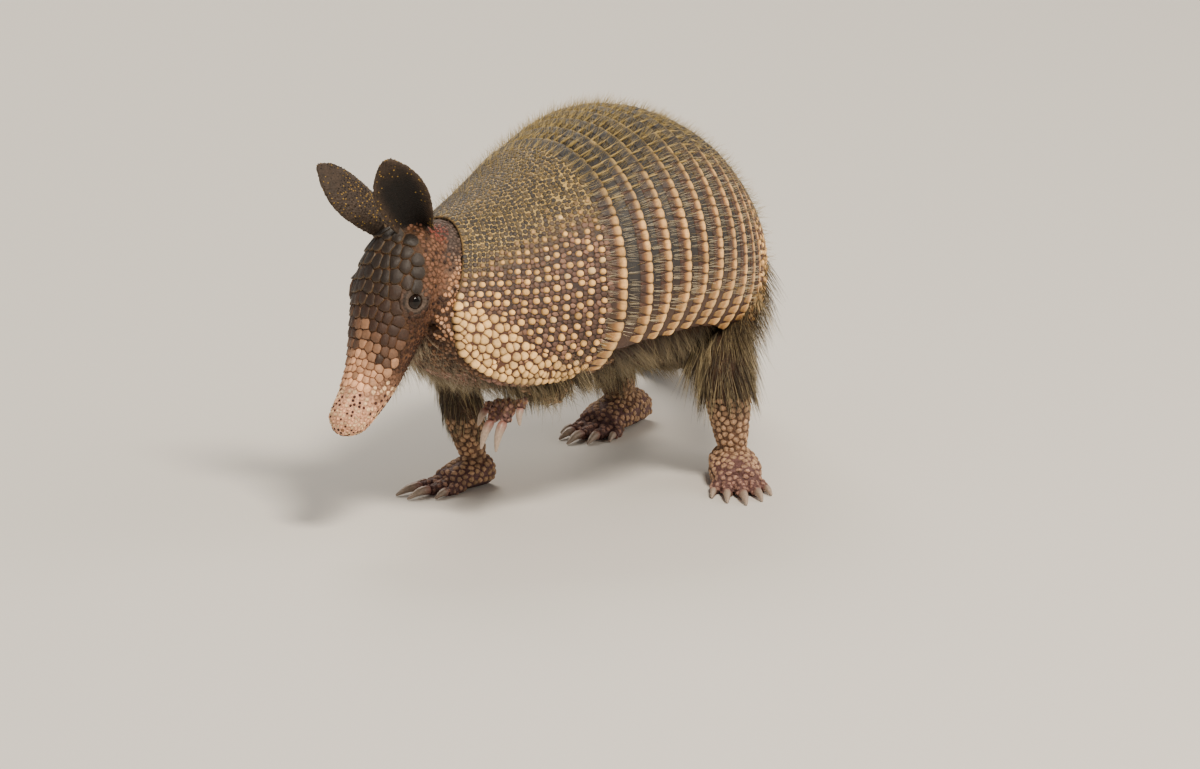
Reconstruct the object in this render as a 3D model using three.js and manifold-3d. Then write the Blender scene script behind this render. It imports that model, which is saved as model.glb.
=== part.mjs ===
// A nine-banded armadillo (Dasypus novemcinctus), life size: an adult in mid-step, its back arched, its
// snout held low and its left forefoot lifted. Millimetres, +Z up, the head towards -X and the animal's
// left side towards -Y.
//
// The shell and the trunk are drawn as rings along the back. Each ring is a half ellipse over the back and
// another under the belly, with its own place, lean and size, and the whole row of rings bends sideways
// behind the shoulders.
import * as THREE from "three";
import { mergeVertices } from "three/addons/utils/BufferGeometryUtils.js";
import Module from "manifold-3d";

const wasm = await Module();
wasm.setup();

// ---- Driving dimensions -------------------------------------------------------------------------

const GAP = 0.3; // between pieces that touch
const SHELL_THICK = 2.8; // bone and horn of one plate
const SHELL_SIDES = 16; // facets across a plate

// Lengths along the midline of the back, from the nape.
const SHOULDER_END = 72.5;
const FIRST_BAND_LENGTH = 13;
const BAND_LENGTH = 11.3;
const BAND_COUNT = 9;
const bandEnd = (band) => SHOULDER_END + FIRST_BAND_LENGTH + (band - 1) * BAND_LENGTH;
const SHELL_LENGTH = 283;
const BAND_TUCK = 1.3; // how far a band's front edge dips under the edge of the one before it
const TRUNK_START = 21;

const BEND_START = -16.5; // the body bends to the animal's right behind here
const BEND_RATE = THREE.MathUtils.degToRad(0.246); // per millimetre of body

const HEAD_LENGTH = 104; // back of the skull to nose
const EYE_RADIUS = 4.6;
const HEAD_PLATE_THICK = 1.6;
const EAR_LENGTH = 45;
const EAR_THICK = 1.5;
const TAIL_LENGTH = 290;

// ---- Small helpers ------------------------------------------------------------------------------

const V = (x, y, z) => new THREE.Vector3(x, y, z);
const rad = THREE.MathUtils.degToRad;
const mix = THREE.MathUtils.lerp;

// A smooth curve through [position, value] keys.
function keyed(...keys) {
  const last = keys.length - 1;
  const slope = keys.map((_, i) => {
    const [before, after] = [keys[Math.max(0, i - 1)], keys[Math.min(last, i + 1)]];
    return (after[1] - before[1]) / (after[0] - before[0]);
  });
  return (position) => {
    const p = THREE.MathUtils.clamp(position, keys[0][0], keys[last][0]);
    const i = Math.min(last - 1, keys.findLastIndex((key) => key[0] <= p));
    const span = keys[i + 1][0] - keys[i][0];
    const f = (p - keys[i][0]) / span;
    return (
      keys[i][1] * (2 * f ** 3 - 3 * f ** 2 + 1) +
      slope[i] * span * (f ** 3 - 2 * f ** 2 + f) +
      keys[i + 1][1] * (3 * f ** 2 - 2 * f ** 3) +
      slope[i + 1] * span * (f ** 3 - f ** 2)
    );
  };
}

function geometryOf(points, triangles) {
  const geometry = new THREE.BufferGeometry().setFromPoints(points);
  geometry.setIndex(triangles);
  return geometry;
}

// A closed solid from rings of points: each ring is joined to the next, and both ends are fans.
function loft(rings) {
  const sides = rings[0].length;
  const points = rings.flat();
  const triangles = [];
  for (let i = 0; i < rings.length - 1; i++)
    for (let j = 0; j < sides; j++) {
      const [a, b] = [i * sides + j, i * sides + ((j + 1) % sides)];
      triangles.push(a, b, a + sides, b, b + sides, a + sides);
    }
  const middleOf = (ring) => ring.reduce((sum, p) => sum.add(p), V(0, 0, 0)).divideScalar(sides);
  const start = points.push(middleOf(rings[0])) - 1;
  const end = points.push(middleOf(rings.at(-1))) - 1;
  const lastRing = (rings.length - 1) * sides;
  for (let j = 0; j < sides; j++) {
    const next = (j + 1) % sides;
    triangles.push(next, j, start, lastRing + j, lastRing + next, end);
  }
  return geometryOf(points, triangles);
}

// A closed plate between an outer face (0) and an inner face (1), each a grid over u and v from 0 to 1.
function plate(point, uSteps, vSteps) {
  const points = [];
  const index = (face, i, j) => (face * (uSteps + 1) + i) * (vSteps + 1) + j;
  for (const face of [0, 1])
    for (let i = 0; i <= uSteps; i++)
      for (let j = 0; j <= vSteps; j++) points.push(point(i / uSteps, j / vSteps, face));
  const triangles = [];
  const quad = (a, b, c, d) => triangles.push(a, b, c, a, c, d);
  for (let i = 0; i < uSteps; i++)
    for (let j = 0; j < vSteps; j++) {
      quad(index(0, i, j), index(0, i, j + 1), index(0, i + 1, j + 1), index(0, i + 1, j));
      quad(index(1, i, j), index(1, i + 1, j), index(1, i + 1, j + 1), index(1, i, j + 1));
    }
  for (let i = 0; i < uSteps; i++) {
    quad(index(0, i, 0), index(0, i + 1, 0), index(1, i + 1, 0), index(1, i, 0));
    quad(index(0, i + 1, vSteps), index(0, i, vSteps), index(1, i, vSteps), index(1, i + 1, vSteps));
  }
  for (let j = 0; j < vSteps; j++) {
    quad(index(0, 0, j + 1), index(0, 0, j), index(1, 0, j), index(1, 0, j + 1));
    quad(index(0, uSteps, j), index(0, uSteps, j + 1), index(1, uSteps, j + 1), index(1, uSteps, j));
  }
  return geometryOf(points, triangles);
}

// Half a step round, so that an even number of sides has a flat on top and one below.
const turnOf = (j, sides) => ((j + 0.5) / sides) * 2 * Math.PI;

const UP = V(0, 0, 1);
const FORWARD = V(-1, 0, 0);

// The directions square to a path at a place on it: the one nearest to "top", and the one to its side.
function acrossPath(along, top) {
  const up = top.clone().addScaledVector(along, -top.dot(along)).normalize();
  return { up, side: along.clone().cross(up) };
}

// A body part along a path, or along the stretch of it between from and to, which run from 0 to 1. Each
// size is a function of the place on the path, and grow adds to them all.
function limb(shape) {
  const { path, half, above = half, below = above, from = 0, to = 1, steps, sides, top = UP, grow = 0 } = shape;
  const line = new THREE.CatmullRomCurve3(path, false, "centripetal");
  const rings = [];
  for (let i = 0; i <= steps; i++) {
    const t = mix(from, to, i / steps);
    const along = line.getTangent(t);
    const { up, side } = acrossPath(along, top);
    const centre = line.getPoint(t);
    if (i === 0) centre.addScaledVector(along, -grow);
    if (i === steps) centre.addScaledVector(along, grow);
    const ring = Array.from({ length: sides }, (_, j) => {
      const turn = turnOf(j, sides);
      const reach = Math.cos(turn) > 0 ? above(t) : below(t);
      return centre
        .clone()
        .addScaledVector(side, (half(t) + grow) * Math.sin(turn))
        .addScaledVector(up, (reach + grow) * Math.cos(turn));
    });
    rings.push(ring);
  }
  return loft(rings);
}

// A geometry as a solid that can be cut and joined, turned the right way out.
function solid(geometry) {
  const bare = new THREE.BufferGeometry().setAttribute("position", geometry.getAttribute("position"));
  if (geometry.index) bare.setIndex(geometry.index);
  const merged = mergeVertices(bare, 1e-4);
  const triVerts = new Uint32Array(merged.index.array);
  const vertProperties = new Float32Array(merged.attributes.position.array);
  const build = () => new wasm.Manifold(new wasm.Mesh({ numProp: 3, vertProperties, triVerts }));
  const made = build();
  if (made.volume() > 0) return made;
  for (let i = 0; i < triVerts.length; i += 3)
    [triVerts[i + 1], triVerts[i + 2]] = [triVerts[i + 2], triVerts[i + 1]];
  return build();
}

const without = (piece, ...cutters) => cutters.reduce((left, cutter) => left.subtract(cutter), piece);
const joined = (...pieces) => pieces.reduce((sum, piece) => sum.add(piece));

// The largest of the bodies that cuts have left.
function mainBody(piece) {
  return piece.decompose().reduce((most, body) => (body.volume() > most.volume() ? body : most));
}

// ---- Materials and the model --------------------------------------------------------------------

const finish = (color, roughness) => new THREE.MeshStandardMaterial({ color, roughness, metalness: 0 });
const HORN = finish(0x6f5a48, 0.55);
const SKIN = finish(0x6b5148, 0.75);
const HIDE = finish(0x3b2f2e, 0.7);
const EYE = finish(0x0b0a0a, 0.08);
const CLAW = finish(0xb59d84, 0.45);

const armadillo = new THREE.Group();

// Adds a solid to the model as a named mesh.
function addPart(name, made, material) {
  const { vertProperties, triVerts } = mainBody(made).getMesh();
  const points = [];
  for (let i = 0; i < vertProperties.length; i += 3)
    points.push(V(vertProperties[i], vertProperties[i + 1], vertProperties[i + 2]));
  const mesh = new THREE.Mesh(geometryOf(points, [...triVerts]), material);
  mesh.geometry.computeVertexNormals();
  mesh.name = name;
  armadillo.add(mesh);
}

// ---- Shell and trunk ----------------------------------------------------------------------------

// The rings that shape the body. u is the distance along the back from the nape, x and z are where the
// ring's top is, lean is how far it leans back from upright, in degrees, and the rest say how far it
// reaches from its centre to each side, above, below under the shell, and below at the belly, with its
// fringe of hair.
const RINGS = [
  { place: "nape", u: 0, x: -96.8, z: 145.1, lean: 30, half: 28.9, above: 50.7, below: 40.1, belly: 6 },
  { place: "withers", u: 38.9, x: -61.4, z: 157.5, lean: 21, half: 48.4, above: 70.8, below: 46, belly: 34 },
  { place: "ribs", u: 77.9, x: -23.6, z: 172.3, lean: 8, half: 64.3, above: 72, below: 46, belly: 51.9 },
  { place: "waist", u: 128.6, x: 16.5, z: 179.9, lean: 4, half: 67.8, above: 68.4, below: 54.3, belly: 59 },
  { place: "loin", u: 178.2, x: 60.2, z: 161.7, lean: 8, half: 58.4, above: 69, below: 49, belly: 54.3 },
  { place: "hip", u: 228.9, x: 97.3, z: 132.2, lean: 30, half: 49.6, above: 59, below: 42.5, belly: 38.9 },
  { place: "rump", u: 265.5, x: 120.4, z: 102.7, lean: 50, half: 36.6, above: 40.1, below: 33, belly: 30.7 },
  { place: "tail", u: 290.3, x: 129.8, z: 79.1, lean: 64, half: 20.6, above: 23.6, below: 20.1, belly: 20.1 },
];
const alongBack = (size) => keyed(...RINGS.map((ring) => [ring.u, ring[size]]));
const backX = alongBack("x");
const backZ = alongBack("z");
const ringLean = alongBack("lean");
const ringHalf = alongBack("half");
const ringAbove = alongBack("above");
const ringBelow = alongBack("below");
const bellyBelow = alongBack("belly");

// How far round the shell reaches at each place along the back, in degrees from the midline.
const frontReach = keyed(
  [0, 78], [4.7, 90], [10.6, 104], [18.9, 110], [30.7, 114], [46, 119], [59, 125], [72, 127],
);
const rearReach = keyed(
  [72, 115], [89.7, 117], [110.9, 122], [136.9, 124], [169.9, 123], [224.2, 112], [265.5, 95],
  [283.2, 75],
);
const shellReach = (u) => (u < SHOULDER_END - GAP / 2 ? frontReach(u) : rearReach(u));

// Bends a point of the straight body sideways round the vertical, along an arc that starts behind the
// shoulders.
function bent(p) {
  const turn = Math.max(0, p.x - BEND_START) * BEND_RATE;
  if (turn === 0) return p;
  const radius = 1 / BEND_RATE;
  const x = BEND_START + (radius - p.y) * Math.sin(turn);
  const y = radius - (radius - p.y) * Math.cos(turn);
  return V(x, y, p.z);
}

// A point of the body's surface at u along the back and phi degrees round from its midline, drawn in by
// inset.
function bodyPoint(u, phi, inset = 0, below = ringBelow) {
  const lean = rad(ringLean(u));
  const turn = rad(phi);
  const reach = (Math.cos(turn) > 0 ? ringAbove(u) : below(u)) - inset;
  const height = -ringAbove(u) + reach * Math.cos(turn);
  const aside = (ringHalf(u) - inset) * Math.sin(turn);
  return bent(V(backX(u) + height * Math.sin(lean), aside, backZ(u) + height * Math.cos(lean)));
}

// A plate of the shell from one place along the back to another. rise lifts its outer face, and grow
// swells it all.
function shellPlate({ from, to, uSteps, rise = () => 0, grow = 0 }) {
  const facing = (u, v, face) => {
    const along = mix(from - grow, to + grow, u);
    const round = (2 * v - 1) * (shellReach(along) + grow);
    return bodyPoint(along, round, face ? SHELL_THICK + grow : -rise(u) - grow);
  };
  return solid(plate(facing, uSteps, SHELL_SIDES));
}

const tuckedEdge = (u) => (u === 0 ? -BAND_TUCK : 0);
const SHELL_PLATES = [{ name: "shoulder_shield", from: 0, to: SHOULDER_END - GAP, uSteps: 7 }];
for (let band = 1; band <= BAND_COUNT; band++) {
  const from = band === 1 ? SHOULDER_END : bandEnd(band - 1);
  SHELL_PLATES.push({ name: `band_${band}`, from, to: bandEnd(band) - GAP, uSteps: 2, rise: tuckedEdge });
}
const lastBand = bandEnd(BAND_COUNT);
SHELL_PLATES.push({ name: "hip_shield", from: lastBand, to: SHELL_LENGTH, uSteps: 7, rise: tuckedEdge });
for (const shape of SHELL_PLATES) addPart(shape.name, shellPlate(shape), HORN);

// The rings of the trunk. Under the shell they are drawn in by it, and elsewhere they reach the body's
// surface.
function trunkSolid({ from, to, steps, underShell, grow = 0 }) {
  const sides = 24;
  const rings = [];
  for (let i = 0; i <= steps; i++) {
    const u = mix(from - grow, to + grow, i / steps);
    const covered = shellReach(u) + 1.4 * (360 / sides);
    const ring = Array.from({ length: sides }, (_, j) => {
      const phi = THREE.MathUtils.radToDeg(turnOf(j, sides)) - 180;
      const inset = Math.abs(phi) < covered ? underShell : 0;
      return bodyPoint(u, phi, inset - grow, inset ? ringBelow : bellyBelow);
    });
    rings.push(ring);
  }
  return solid(loft(rings));
}
const TRUNK = {
  from: TRUNK_START,
  to: SHELL_LENGTH - 2,
  steps: 14,
  underShell: SHELL_THICK + 1.3, // clear of the plates' flat facets
};
addPart("trunk", trunkSolid(TRUNK), SKIN);

// What the head, legs and tail are cut back from, so that they stop at the body.
const trunkCutter = trunkSolid({ ...TRUNK, grow: GAP });
const shellCutters = SHELL_PLATES.map((shape) => shellPlate({ ...shape, grow: 1.5 * GAP }));
const filledBody = trunkSolid({ ...TRUNK, from: 0, steps: 16, underShell: 1, grow: GAP });
const bodyCutter = joined(filledBody, trunkCutter, ...shellCutters);

// ---- Head ---------------------------------------------------------------------------------------

const SKULL_BACK = V(-111, 0, 140.5);
const headPitch = keyed([0, 48], [0.3, 64], [0.62, 66], [0.8, 50], [1, 42]); // degrees below the horizontal

function headPath() {
  const stations = 12;
  const points = [SKULL_BACK.clone()];
  for (let i = 0; i < stations; i++) {
    const pitch = rad(headPitch((i + 0.5) / stations));
    const step = V(-Math.cos(pitch), 0, -Math.sin(pitch)).multiplyScalar(HEAD_LENGTH / stations);
    points.push(points.at(-1).clone().add(step));
  }
  return points;
}

// The head's sections, at places from the back of the skull to the nose: how far each reaches from the
// head's line to each side, above it and below it.
const HEAD_SECTIONS = [
  { t: 0, half: 10.6, above: 10.6, below: 10.6 },
  { t: 0.1, half: 18.3, above: 18.3, below: 18.9 },
  { t: 0.24, half: 21.2, above: 19.4, below: 21.8 },
  { t: 0.38, half: 20.3, above: 17.7, below: 21.2 },
  { t: 0.52, half: 17, above: 15.3, below: 18.4 },
  { t: 0.66, half: 13.9, above: 12.7, below: 15.6 },
  { t: 0.82, half: 11.3, above: 10.4, below: 12.4 },
  { t: 0.94, half: 9.4, above: 8.7, below: 9.9 },
  { t: 1, half: 6.6, above: 6.1, below: 7.3 },
];
const alongHead = (size) => keyed(...HEAD_SECTIONS.map((section) => [section.t, section[size]]));
const headShape = {
  path: headPath(),
  half: alongHead("half"),
  above: alongHead("above"),
  below: alongHead("below"),
};
const headLine = new THREE.CatmullRomCurve3(headShape.path, false, "centripetal");

// A point of the head's surface at t along it and phi degrees round from its top, drawn in by inset.
function headPoint(t, phi, inset = 0) {
  const along = headLine.getTangent(t);
  const up = V(0, 1, 0).cross(along).normalize();
  const turn = rad(phi);
  const reach = Math.cos(turn) > 0 ? headShape.above(t) : headShape.below(t);
  return headLine
    .getPoint(t)
    .addScaledVector(V(0, 1, 0), (headShape.half(t) - inset) * Math.sin(turn))
    .addScaledVector(up, (reach - inset) * Math.cos(turn));
}

// The plate of small shields over the crown and forehead, down to the bridge of the snout.
const HEAD_PLATE = { from: 0.07, to: 0.66, rise: 0.4 };
function headPlate(grow) {
  const reach = keyed([0.06, 30], [0.2, 62], [0.4, 58], [0.6, 52], [0.7, 30]); // degrees round from the top
  const facing = (u, v, face) => {
    const t = mix(HEAD_PLATE.from - grow / HEAD_LENGTH, HEAD_PLATE.to + grow / HEAD_LENGTH, u);
    const phi = (2 * v - 1) * (reach(t) + 5 * grow);
    return headPoint(t, phi, face ? HEAD_PLATE_THICK + grow : -HEAD_PLATE.rise - 3 * grow);
  };
  return solid(plate(facing, 5, 6));
}

const EYE_PLACE = { t: 0.33, phi: 72, depth: 3 };
function eyeball(side, grow) {
  const centre = headPoint(EYE_PLACE.t, side * EYE_PLACE.phi, EYE_PLACE.depth);
  return solid(new THREE.SphereGeometry(EYE_RADIUS + grow, 10, 6).translate(centre.x, centre.y, centre.z));
}

const LEFT = -1;
const RIGHT = 1;
const headBody = (grow) => solid(limb({ ...headShape, steps: 11, sides: 12, grow }));
const plateCutter = headPlate(GAP);
const eyeCutters = [eyeball(LEFT, GAP), eyeball(RIGHT, GAP)];
addPart("head", without(headBody(0), plateCutter, ...eyeCutters), SKIN);
addPart("head_shield", without(headPlate(0), ...eyeCutters), HORN);
addPart("eye_left", eyeball(LEFT, 0), EYE);
addPart("eye_right", eyeball(RIGHT, 0), EYE);

const neck = limb({
  path: [V(-113.3, 0, 132.2), V(-108.6, 0, 119.2), V(-94.4, 0, 109.7), V(-77.9, 0, 106.2)],
  half: keyed([0, 18.9], [0.4, 26], [1, 35.4]),
  above: keyed([0, 17.7], [0.4, 26], [1, 35.4]),
  below: keyed([0, 18.9], [0.4, 28.3], [1, 40.1]),
  steps: 4,
  sides: 12,
});
const headCutter = joined(headBody(GAP), plateCutter, ...eyeCutters);
addPart("neck", without(solid(neck), headCutter, trunkCutter, shellCutters[0]), SKIN);

// ---- Ears ---------------------------------------------------------------------------------------

// A leaf that is rolled into a tube at its root and opens towards the tip. It stands along "rise" and
// opens to "face".
function ear({ root, rise, face }) {
  const arc = keyed([0, 13.6], [0.3, 14.9], [0.6, 14.2], [0.85, 9], [1, 1.8]); // half its width, round the curve
  const radius = keyed([0, 7.7], [0.25, 12.4], [0.6, 18.9], [1, 17.7]);
  const up = rise.clone().normalize();
  const side = up.clone().cross(face).normalize();
  const front = side.clone().cross(up).normalize();
  const surface = (u, v, inner) => {
    const turn = ((2 * v - 1) * arc(u)) / radius(u);
    const reach = radius(u) - (inner ? EAR_THICK : 0);
    return root
      .clone()
      .addScaledVector(up, EAR_LENGTH * u)
      .addScaledVector(side, reach * Math.sin(turn))
      .addScaledVector(front, radius(u) - reach * Math.cos(turn));
  };
  return solid(plate(surface, 6, 6));
}
const leftEar = ear({
  root: V(-119.8, -4.1, 147.5),
  rise: V(-22.8, -7.4, 29.5),
  face: V(-0.7, -0.7, 0),
});
const rightEar = ear({
  root: V(-119.8, 8.5, 146),
  rise: V(-21.5, 16.7, 20.1),
  face: V(0.02, 0.77, -0.62),
});
addPart("ear_left", without(leftEar, headCutter), HIDE);
addPart("ear_right", without(rightEar, headCutter), HIDE);

// ---- Legs and feet ------------------------------------------------------------------------------

// A foot is drawn standing on a floor at zero, pointing towards +X, with its ankle above the origin.
const onFloor = (geometry) => {
  const position = geometry.getAttribute("position");
  for (let i = 0; i < position.count; i++) position.setZ(i, Math.max(0, position.getZ(i)));
  return geometry;
};

// The sole and instep, from heel to knuckles, and the toes that spread from the knuckles.
function footSolid({ heel, knuckles, width, height, toes, grow = 0 }) {
  const sole = limb({
    path: [V(-heel, 0, height * 0.38), V(0, 0, height * 0.46), V(knuckles, 0, height * 0.3)],
    half: keyed([0, width * 0.3], [0.3, width * 0.42], [0.85, width * 0.5], [1, width * 0.42]),
    above: keyed([0, height * 0.4], [0.35, height * 0.58], [1, height * 0.34]),
    below: keyed([0, height * 0.46], [0.35, height * 0.56], [1, height * 0.4]),
    steps: 4,
    sides: 8,
    grow,
  });
  const digits = toes.map((toe) => {
    const { root, tip } = toeEnds({ knuckles, width, toe });
    return limb({
      path: [root.clone().setZ(toe.thick * 0.8), tip.clone().setZ(toe.thick * 0.6)],
      half: keyed([0, toe.thick * 0.95], [1, toe.thick * 0.7]),
      above: keyed([0, toe.thick], [1, toe.thick * 0.75]),
      steps: 1,
      sides: 6,
      grow,
    });
  });
  return joined(solid(onFloor(sole)), ...digits.map((digit) => solid(onFloor(digit))));
}

// Where a toe leaves the foot, which way it points, and where its claw begins.
function toeEnds({ knuckles, width, toe }) {
  const root = V(knuckles - toe.thick, toe.place * width * 0.36, 0);
  const ahead = V(Math.cos(rad(toe.spread)), Math.sin(rad(toe.spread)), 0);
  return { root, ahead, tip: root.clone().addScaledVector(ahead, toe.length) };
}

// A claw, deeper than it is wide, that curves from the toe's tip down to just above the floor.
function clawSolid({ knuckles, width, toe }) {
  const { tip, ahead } = toeEnds({ knuckles, width, toe });
  const base = tip.clone().addScaledVector(ahead, -1).setZ(toe.thick * 0.7); // inside the toe, which cuts it
  const path = [
    base,
    base.clone().addScaledVector(ahead, toe.claw * 0.55).add(V(0, 0, toe.thick * 0.12)),
    base.clone().addScaledVector(ahead, toe.claw).setZ(0.8),
  ];
  return solid(
    limb({
      path,
      half: keyed([0, toe.thick * 0.5], [0.5, toe.thick * 0.42], [1, 0.35]),
      above: keyed([0, toe.thick * 0.6], [0.5, toe.thick * 0.45], [1, 0.4]),
      steps: 2,
      sides: 6,
    }),
  );
}

// The forefoot has four toes, and digs with the middle two. The hind foot has five, and the middle one is
// longest.
const FORE_FOOT = {
  heel: 8.3,
  knuckles: 16.5,
  width: 22.4,
  height: 15.3,
  toes: [
    { name: "inner", place: 0.9, spread: 12, length: 10.6, thick: 3.3, claw: 9.4 },
    { name: "second", place: 0.28, spread: 3, length: 16.5, thick: 4.1, claw: 14.8 },
    { name: "third", place: -0.38, spread: -4, length: 15.9, thick: 4.2, claw: 15.3 },
    { name: "outer", place: -1, spread: -16, length: 7.1, thick: 3.3, claw: 8.8 },
  ],
};
const HIND_FOOT = {
  heel: 16.5,
  knuckles: 21.2,
  width: 26,
  height: 17.7,
  toes: [
    { name: "inner", place: 1.08, spread: 16, length: 8.3, thick: 3.3, claw: 8.3 },
    { name: "second", place: 0.56, spread: 7, length: 14.8, thick: 3.9, claw: 11.8 },
    { name: "middle", place: 0, spread: 0, length: 17.7, thick: 4.2, claw: 14.2 },
    { name: "fourth", place: -0.56, spread: -7, length: 14.2, thick: 3.9, claw: 11.8 },
    { name: "outer", place: -1.08, spread: -16, length: 7.1, thick: 3.3, claw: 8.3 },
  ],
};

// Sets a foot down at its place: heading is its direction in degrees from +X, and droop tips its toes
// down.
function footMatrix({ at, heading, droop = 0 }) {
  return new THREE.Matrix4()
    .makeTranslation(at.x, at.y, at.z)
    .multiply(new THREE.Matrix4().makeRotationZ(rad(heading)))
    .multiply(new THREE.Matrix4().makeRotationY(rad(droop)));
}

const mixed = (from, to, t) => from.clone().lerp(to, t);

// A leg from the hip or shoulder through the knee or elbow to the ankle or wrist, with its foot and claws.
function addLeg({ name, top, bend, ankle, thigh, shank, foot, stand, mirror }) {
  const flip = (toe) => ({ ...toe, place: toe.place * mirror, spread: toe.spread * mirror });
  const shape = { ...foot, toes: foot.toes.map(flip) };
  const matrix = [...footMatrix(stand).elements];
  const placed = (made) => made.transform(matrix);
  const footCutter = placed(footSolid({ ...shape, grow: GAP }));
  const upperShape = { path: [top, bend], half: keyed([0, thigh], [1, shank]), steps: 3, sides: 10, top: FORWARD };
  const upper = (grow) => solid(limb({ ...upperShape, grow }));
  const lower = limb({
    path: [bend, mixed(bend, ankle, 0.55), ankle],
    half: keyed([0, shank * 1.02], [0.3, shank], [0.7, shank * 0.72], [1, foot.height * 0.36]),
    steps: 5,
    sides: 10,
    top: FORWARD,
  });
  addPart(`${name}_upper_leg`, without(upper(0), bodyCutter), SKIN);
  addPart(
    `${name}_lower_leg`,
    without(solid(lower), bodyCutter, upper(GAP), footCutter),
    SKIN,
  );
  addPart(`${name}_foot`, without(placed(footSolid(shape)), bodyCutter), HIDE);
  for (const toe of shape.toes) {
    const claw = placed(clawSolid({ ...shape, toe }));
    addPart(`${name}_claw_${toe.name}`, without(claw, footCutter, bodyCutter), CLAW);
  }
}

addLeg({
  name: "hind_left",
  top: bent(V(80.2, -18.9, 94.4)),
  bend: V(43.7, -44.8, 60.2),
  ankle: V(48.4, -46, 15.3),
  thigh: 20.1,
  shank: 14.8,
  foot: HIND_FOOT,
  stand: { at: V(48.4, -46, 0), heading: 180 + 52 },
  mirror: -1,
});
addLeg({
  name: "hind_right",
  top: bent(V(80.2, 18.9, 94.4)),
  bend: V(61.4, 57.8, 59),
  ankle: V(87.3, 67.3, 15.3),
  thigh: 20.1,
  shank: 14.8,
  foot: HIND_FOOT,
  stand: { at: V(87.3, 67.3, 0), heading: 180 + 12 },
  mirror: 1,
});
addLeg({
  name: "fore_right",
  top: V(-75.5, 21.2, 94.4),
  bend: V(-56.6, 35.4, 59),
  ankle: V(-43.7, 35.4, 13),
  thigh: 16.5,
  shank: 12.4,
  foot: FORE_FOOT,
  stand: { at: V(-43.7, 35.4, 0), heading: 180 - 6 },
  mirror: 1,
});
addLeg({
  name: "fore_left",
  top: V(-68.4, -18.9, 99.1),
  bend: V(-55.5, -31.9, 63.7),
  ankle: V(-75.5, -27.1, 69.6),
  thigh: 16.5,
  shank: 12.4,
  foot: FORE_FOOT,
  stand: { at: V(-70.8, -26, 72), heading: 180 + 4, droop: 54 },
  mirror: -1,
});

// ---- Tail ---------------------------------------------------------------------------------------

// The tail leaves the shell downwards and curls to the animal's right, and its second half lies on the
// floor.
const TAIL_ROOT = bent(V(108.5, 0, 0));
const TAIL_HEADING = rad(32);
const TAIL_CURL = rad(100);
const TAIL_PIECES = { base: [0, 0.3], middle: [0.3, 0.62], tip: [0.62, 1] };
const TAIL_SIDES = 12;
const tailRadius = keyed([0, 20.1], [0.12, 17.1], [0.35, 12.4], [0.65, 7.6], [0.9, 3.8], [1, 1.7]);
const tailLift = keyed([0, 61.4], [0.08, 47.2], [0.2, 24.8], [0.34, 7.7], [0.46, 0.7], [0.52, 0], [1, 0]);

function tailCentre(t) {
  const radius = TAIL_LENGTH / TAIL_CURL;
  const heading = TAIL_HEADING + TAIL_CURL * t;
  return V(
    TAIL_ROOT.x + radius * (Math.sin(heading) - Math.sin(TAIL_HEADING)),
    TAIL_ROOT.y + radius * (Math.cos(TAIL_HEADING) - Math.cos(heading)),
    tailLift(t) + tailRadius(t) * Math.cos(Math.PI / TAIL_SIDES),
  );
}

const TAIL_STATIONS = 24;
const tailPath = Array.from({ length: TAIL_STATIONS + 1 }, (_, i) => tailCentre(i / TAIL_STATIONS));
for (const [name, [from, end]] of Object.entries(TAIL_PIECES)) {
  const to = end - (end < 1 ? GAP / TAIL_LENGTH : 0);
  const piece = limb({ path: tailPath, half: tailRadius, from, to, steps: 5, sides: TAIL_SIDES });
  addPart(`tail_${name}`, without(solid(onFloor(piece)), bodyCutter), HIDE);
}

// ---- The origin is under the middle of the whole ------------------------------------------------

const box = new THREE.Box3().setFromObject(armadillo);
const middle = box.getCenter(V(0, 0, 0));
armadillo.position.set(-middle.x, -middle.y, -box.min.z);
armadillo.updateMatrixWorld(true);

export default armadillo;
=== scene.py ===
"""A nine-banded armadillo, life size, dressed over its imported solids: shell, skin, scutes, claws and coat."""

import itertools
import math

import bpy
import numpy as np
from bpy.props import FloatProperty, FloatVectorProperty, IntProperty, PointerProperty
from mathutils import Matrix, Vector
from mathutils.bvhtree import BVHTree
from mathutils.kdtree import KDTree


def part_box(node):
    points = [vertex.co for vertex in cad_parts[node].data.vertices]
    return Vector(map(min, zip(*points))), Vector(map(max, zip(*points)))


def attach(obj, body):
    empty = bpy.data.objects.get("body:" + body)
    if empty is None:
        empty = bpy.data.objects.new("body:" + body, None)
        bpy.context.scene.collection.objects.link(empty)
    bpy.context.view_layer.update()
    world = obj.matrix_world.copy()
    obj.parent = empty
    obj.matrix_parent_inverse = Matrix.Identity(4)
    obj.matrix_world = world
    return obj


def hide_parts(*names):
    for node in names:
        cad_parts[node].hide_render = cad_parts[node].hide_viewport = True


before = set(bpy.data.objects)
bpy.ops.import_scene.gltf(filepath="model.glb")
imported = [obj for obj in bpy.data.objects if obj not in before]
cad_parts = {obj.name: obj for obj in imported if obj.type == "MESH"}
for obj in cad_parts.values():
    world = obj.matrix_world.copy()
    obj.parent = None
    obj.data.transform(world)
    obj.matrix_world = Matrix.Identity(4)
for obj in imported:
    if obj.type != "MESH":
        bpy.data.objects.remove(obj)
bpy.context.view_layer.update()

bl_info = {
    "name": "Armadillo",
    "version": (1, 0, 0),
    "blender": (4, 5, 0),
    "location": "3D View > Sidebar > Armadillo",
    "description": "Dresses the solids of a nine-banded armadillo in scutes, skin, claws and hair",
    "category": "Object",
}

MM = 0.001
SEED = 9


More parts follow.
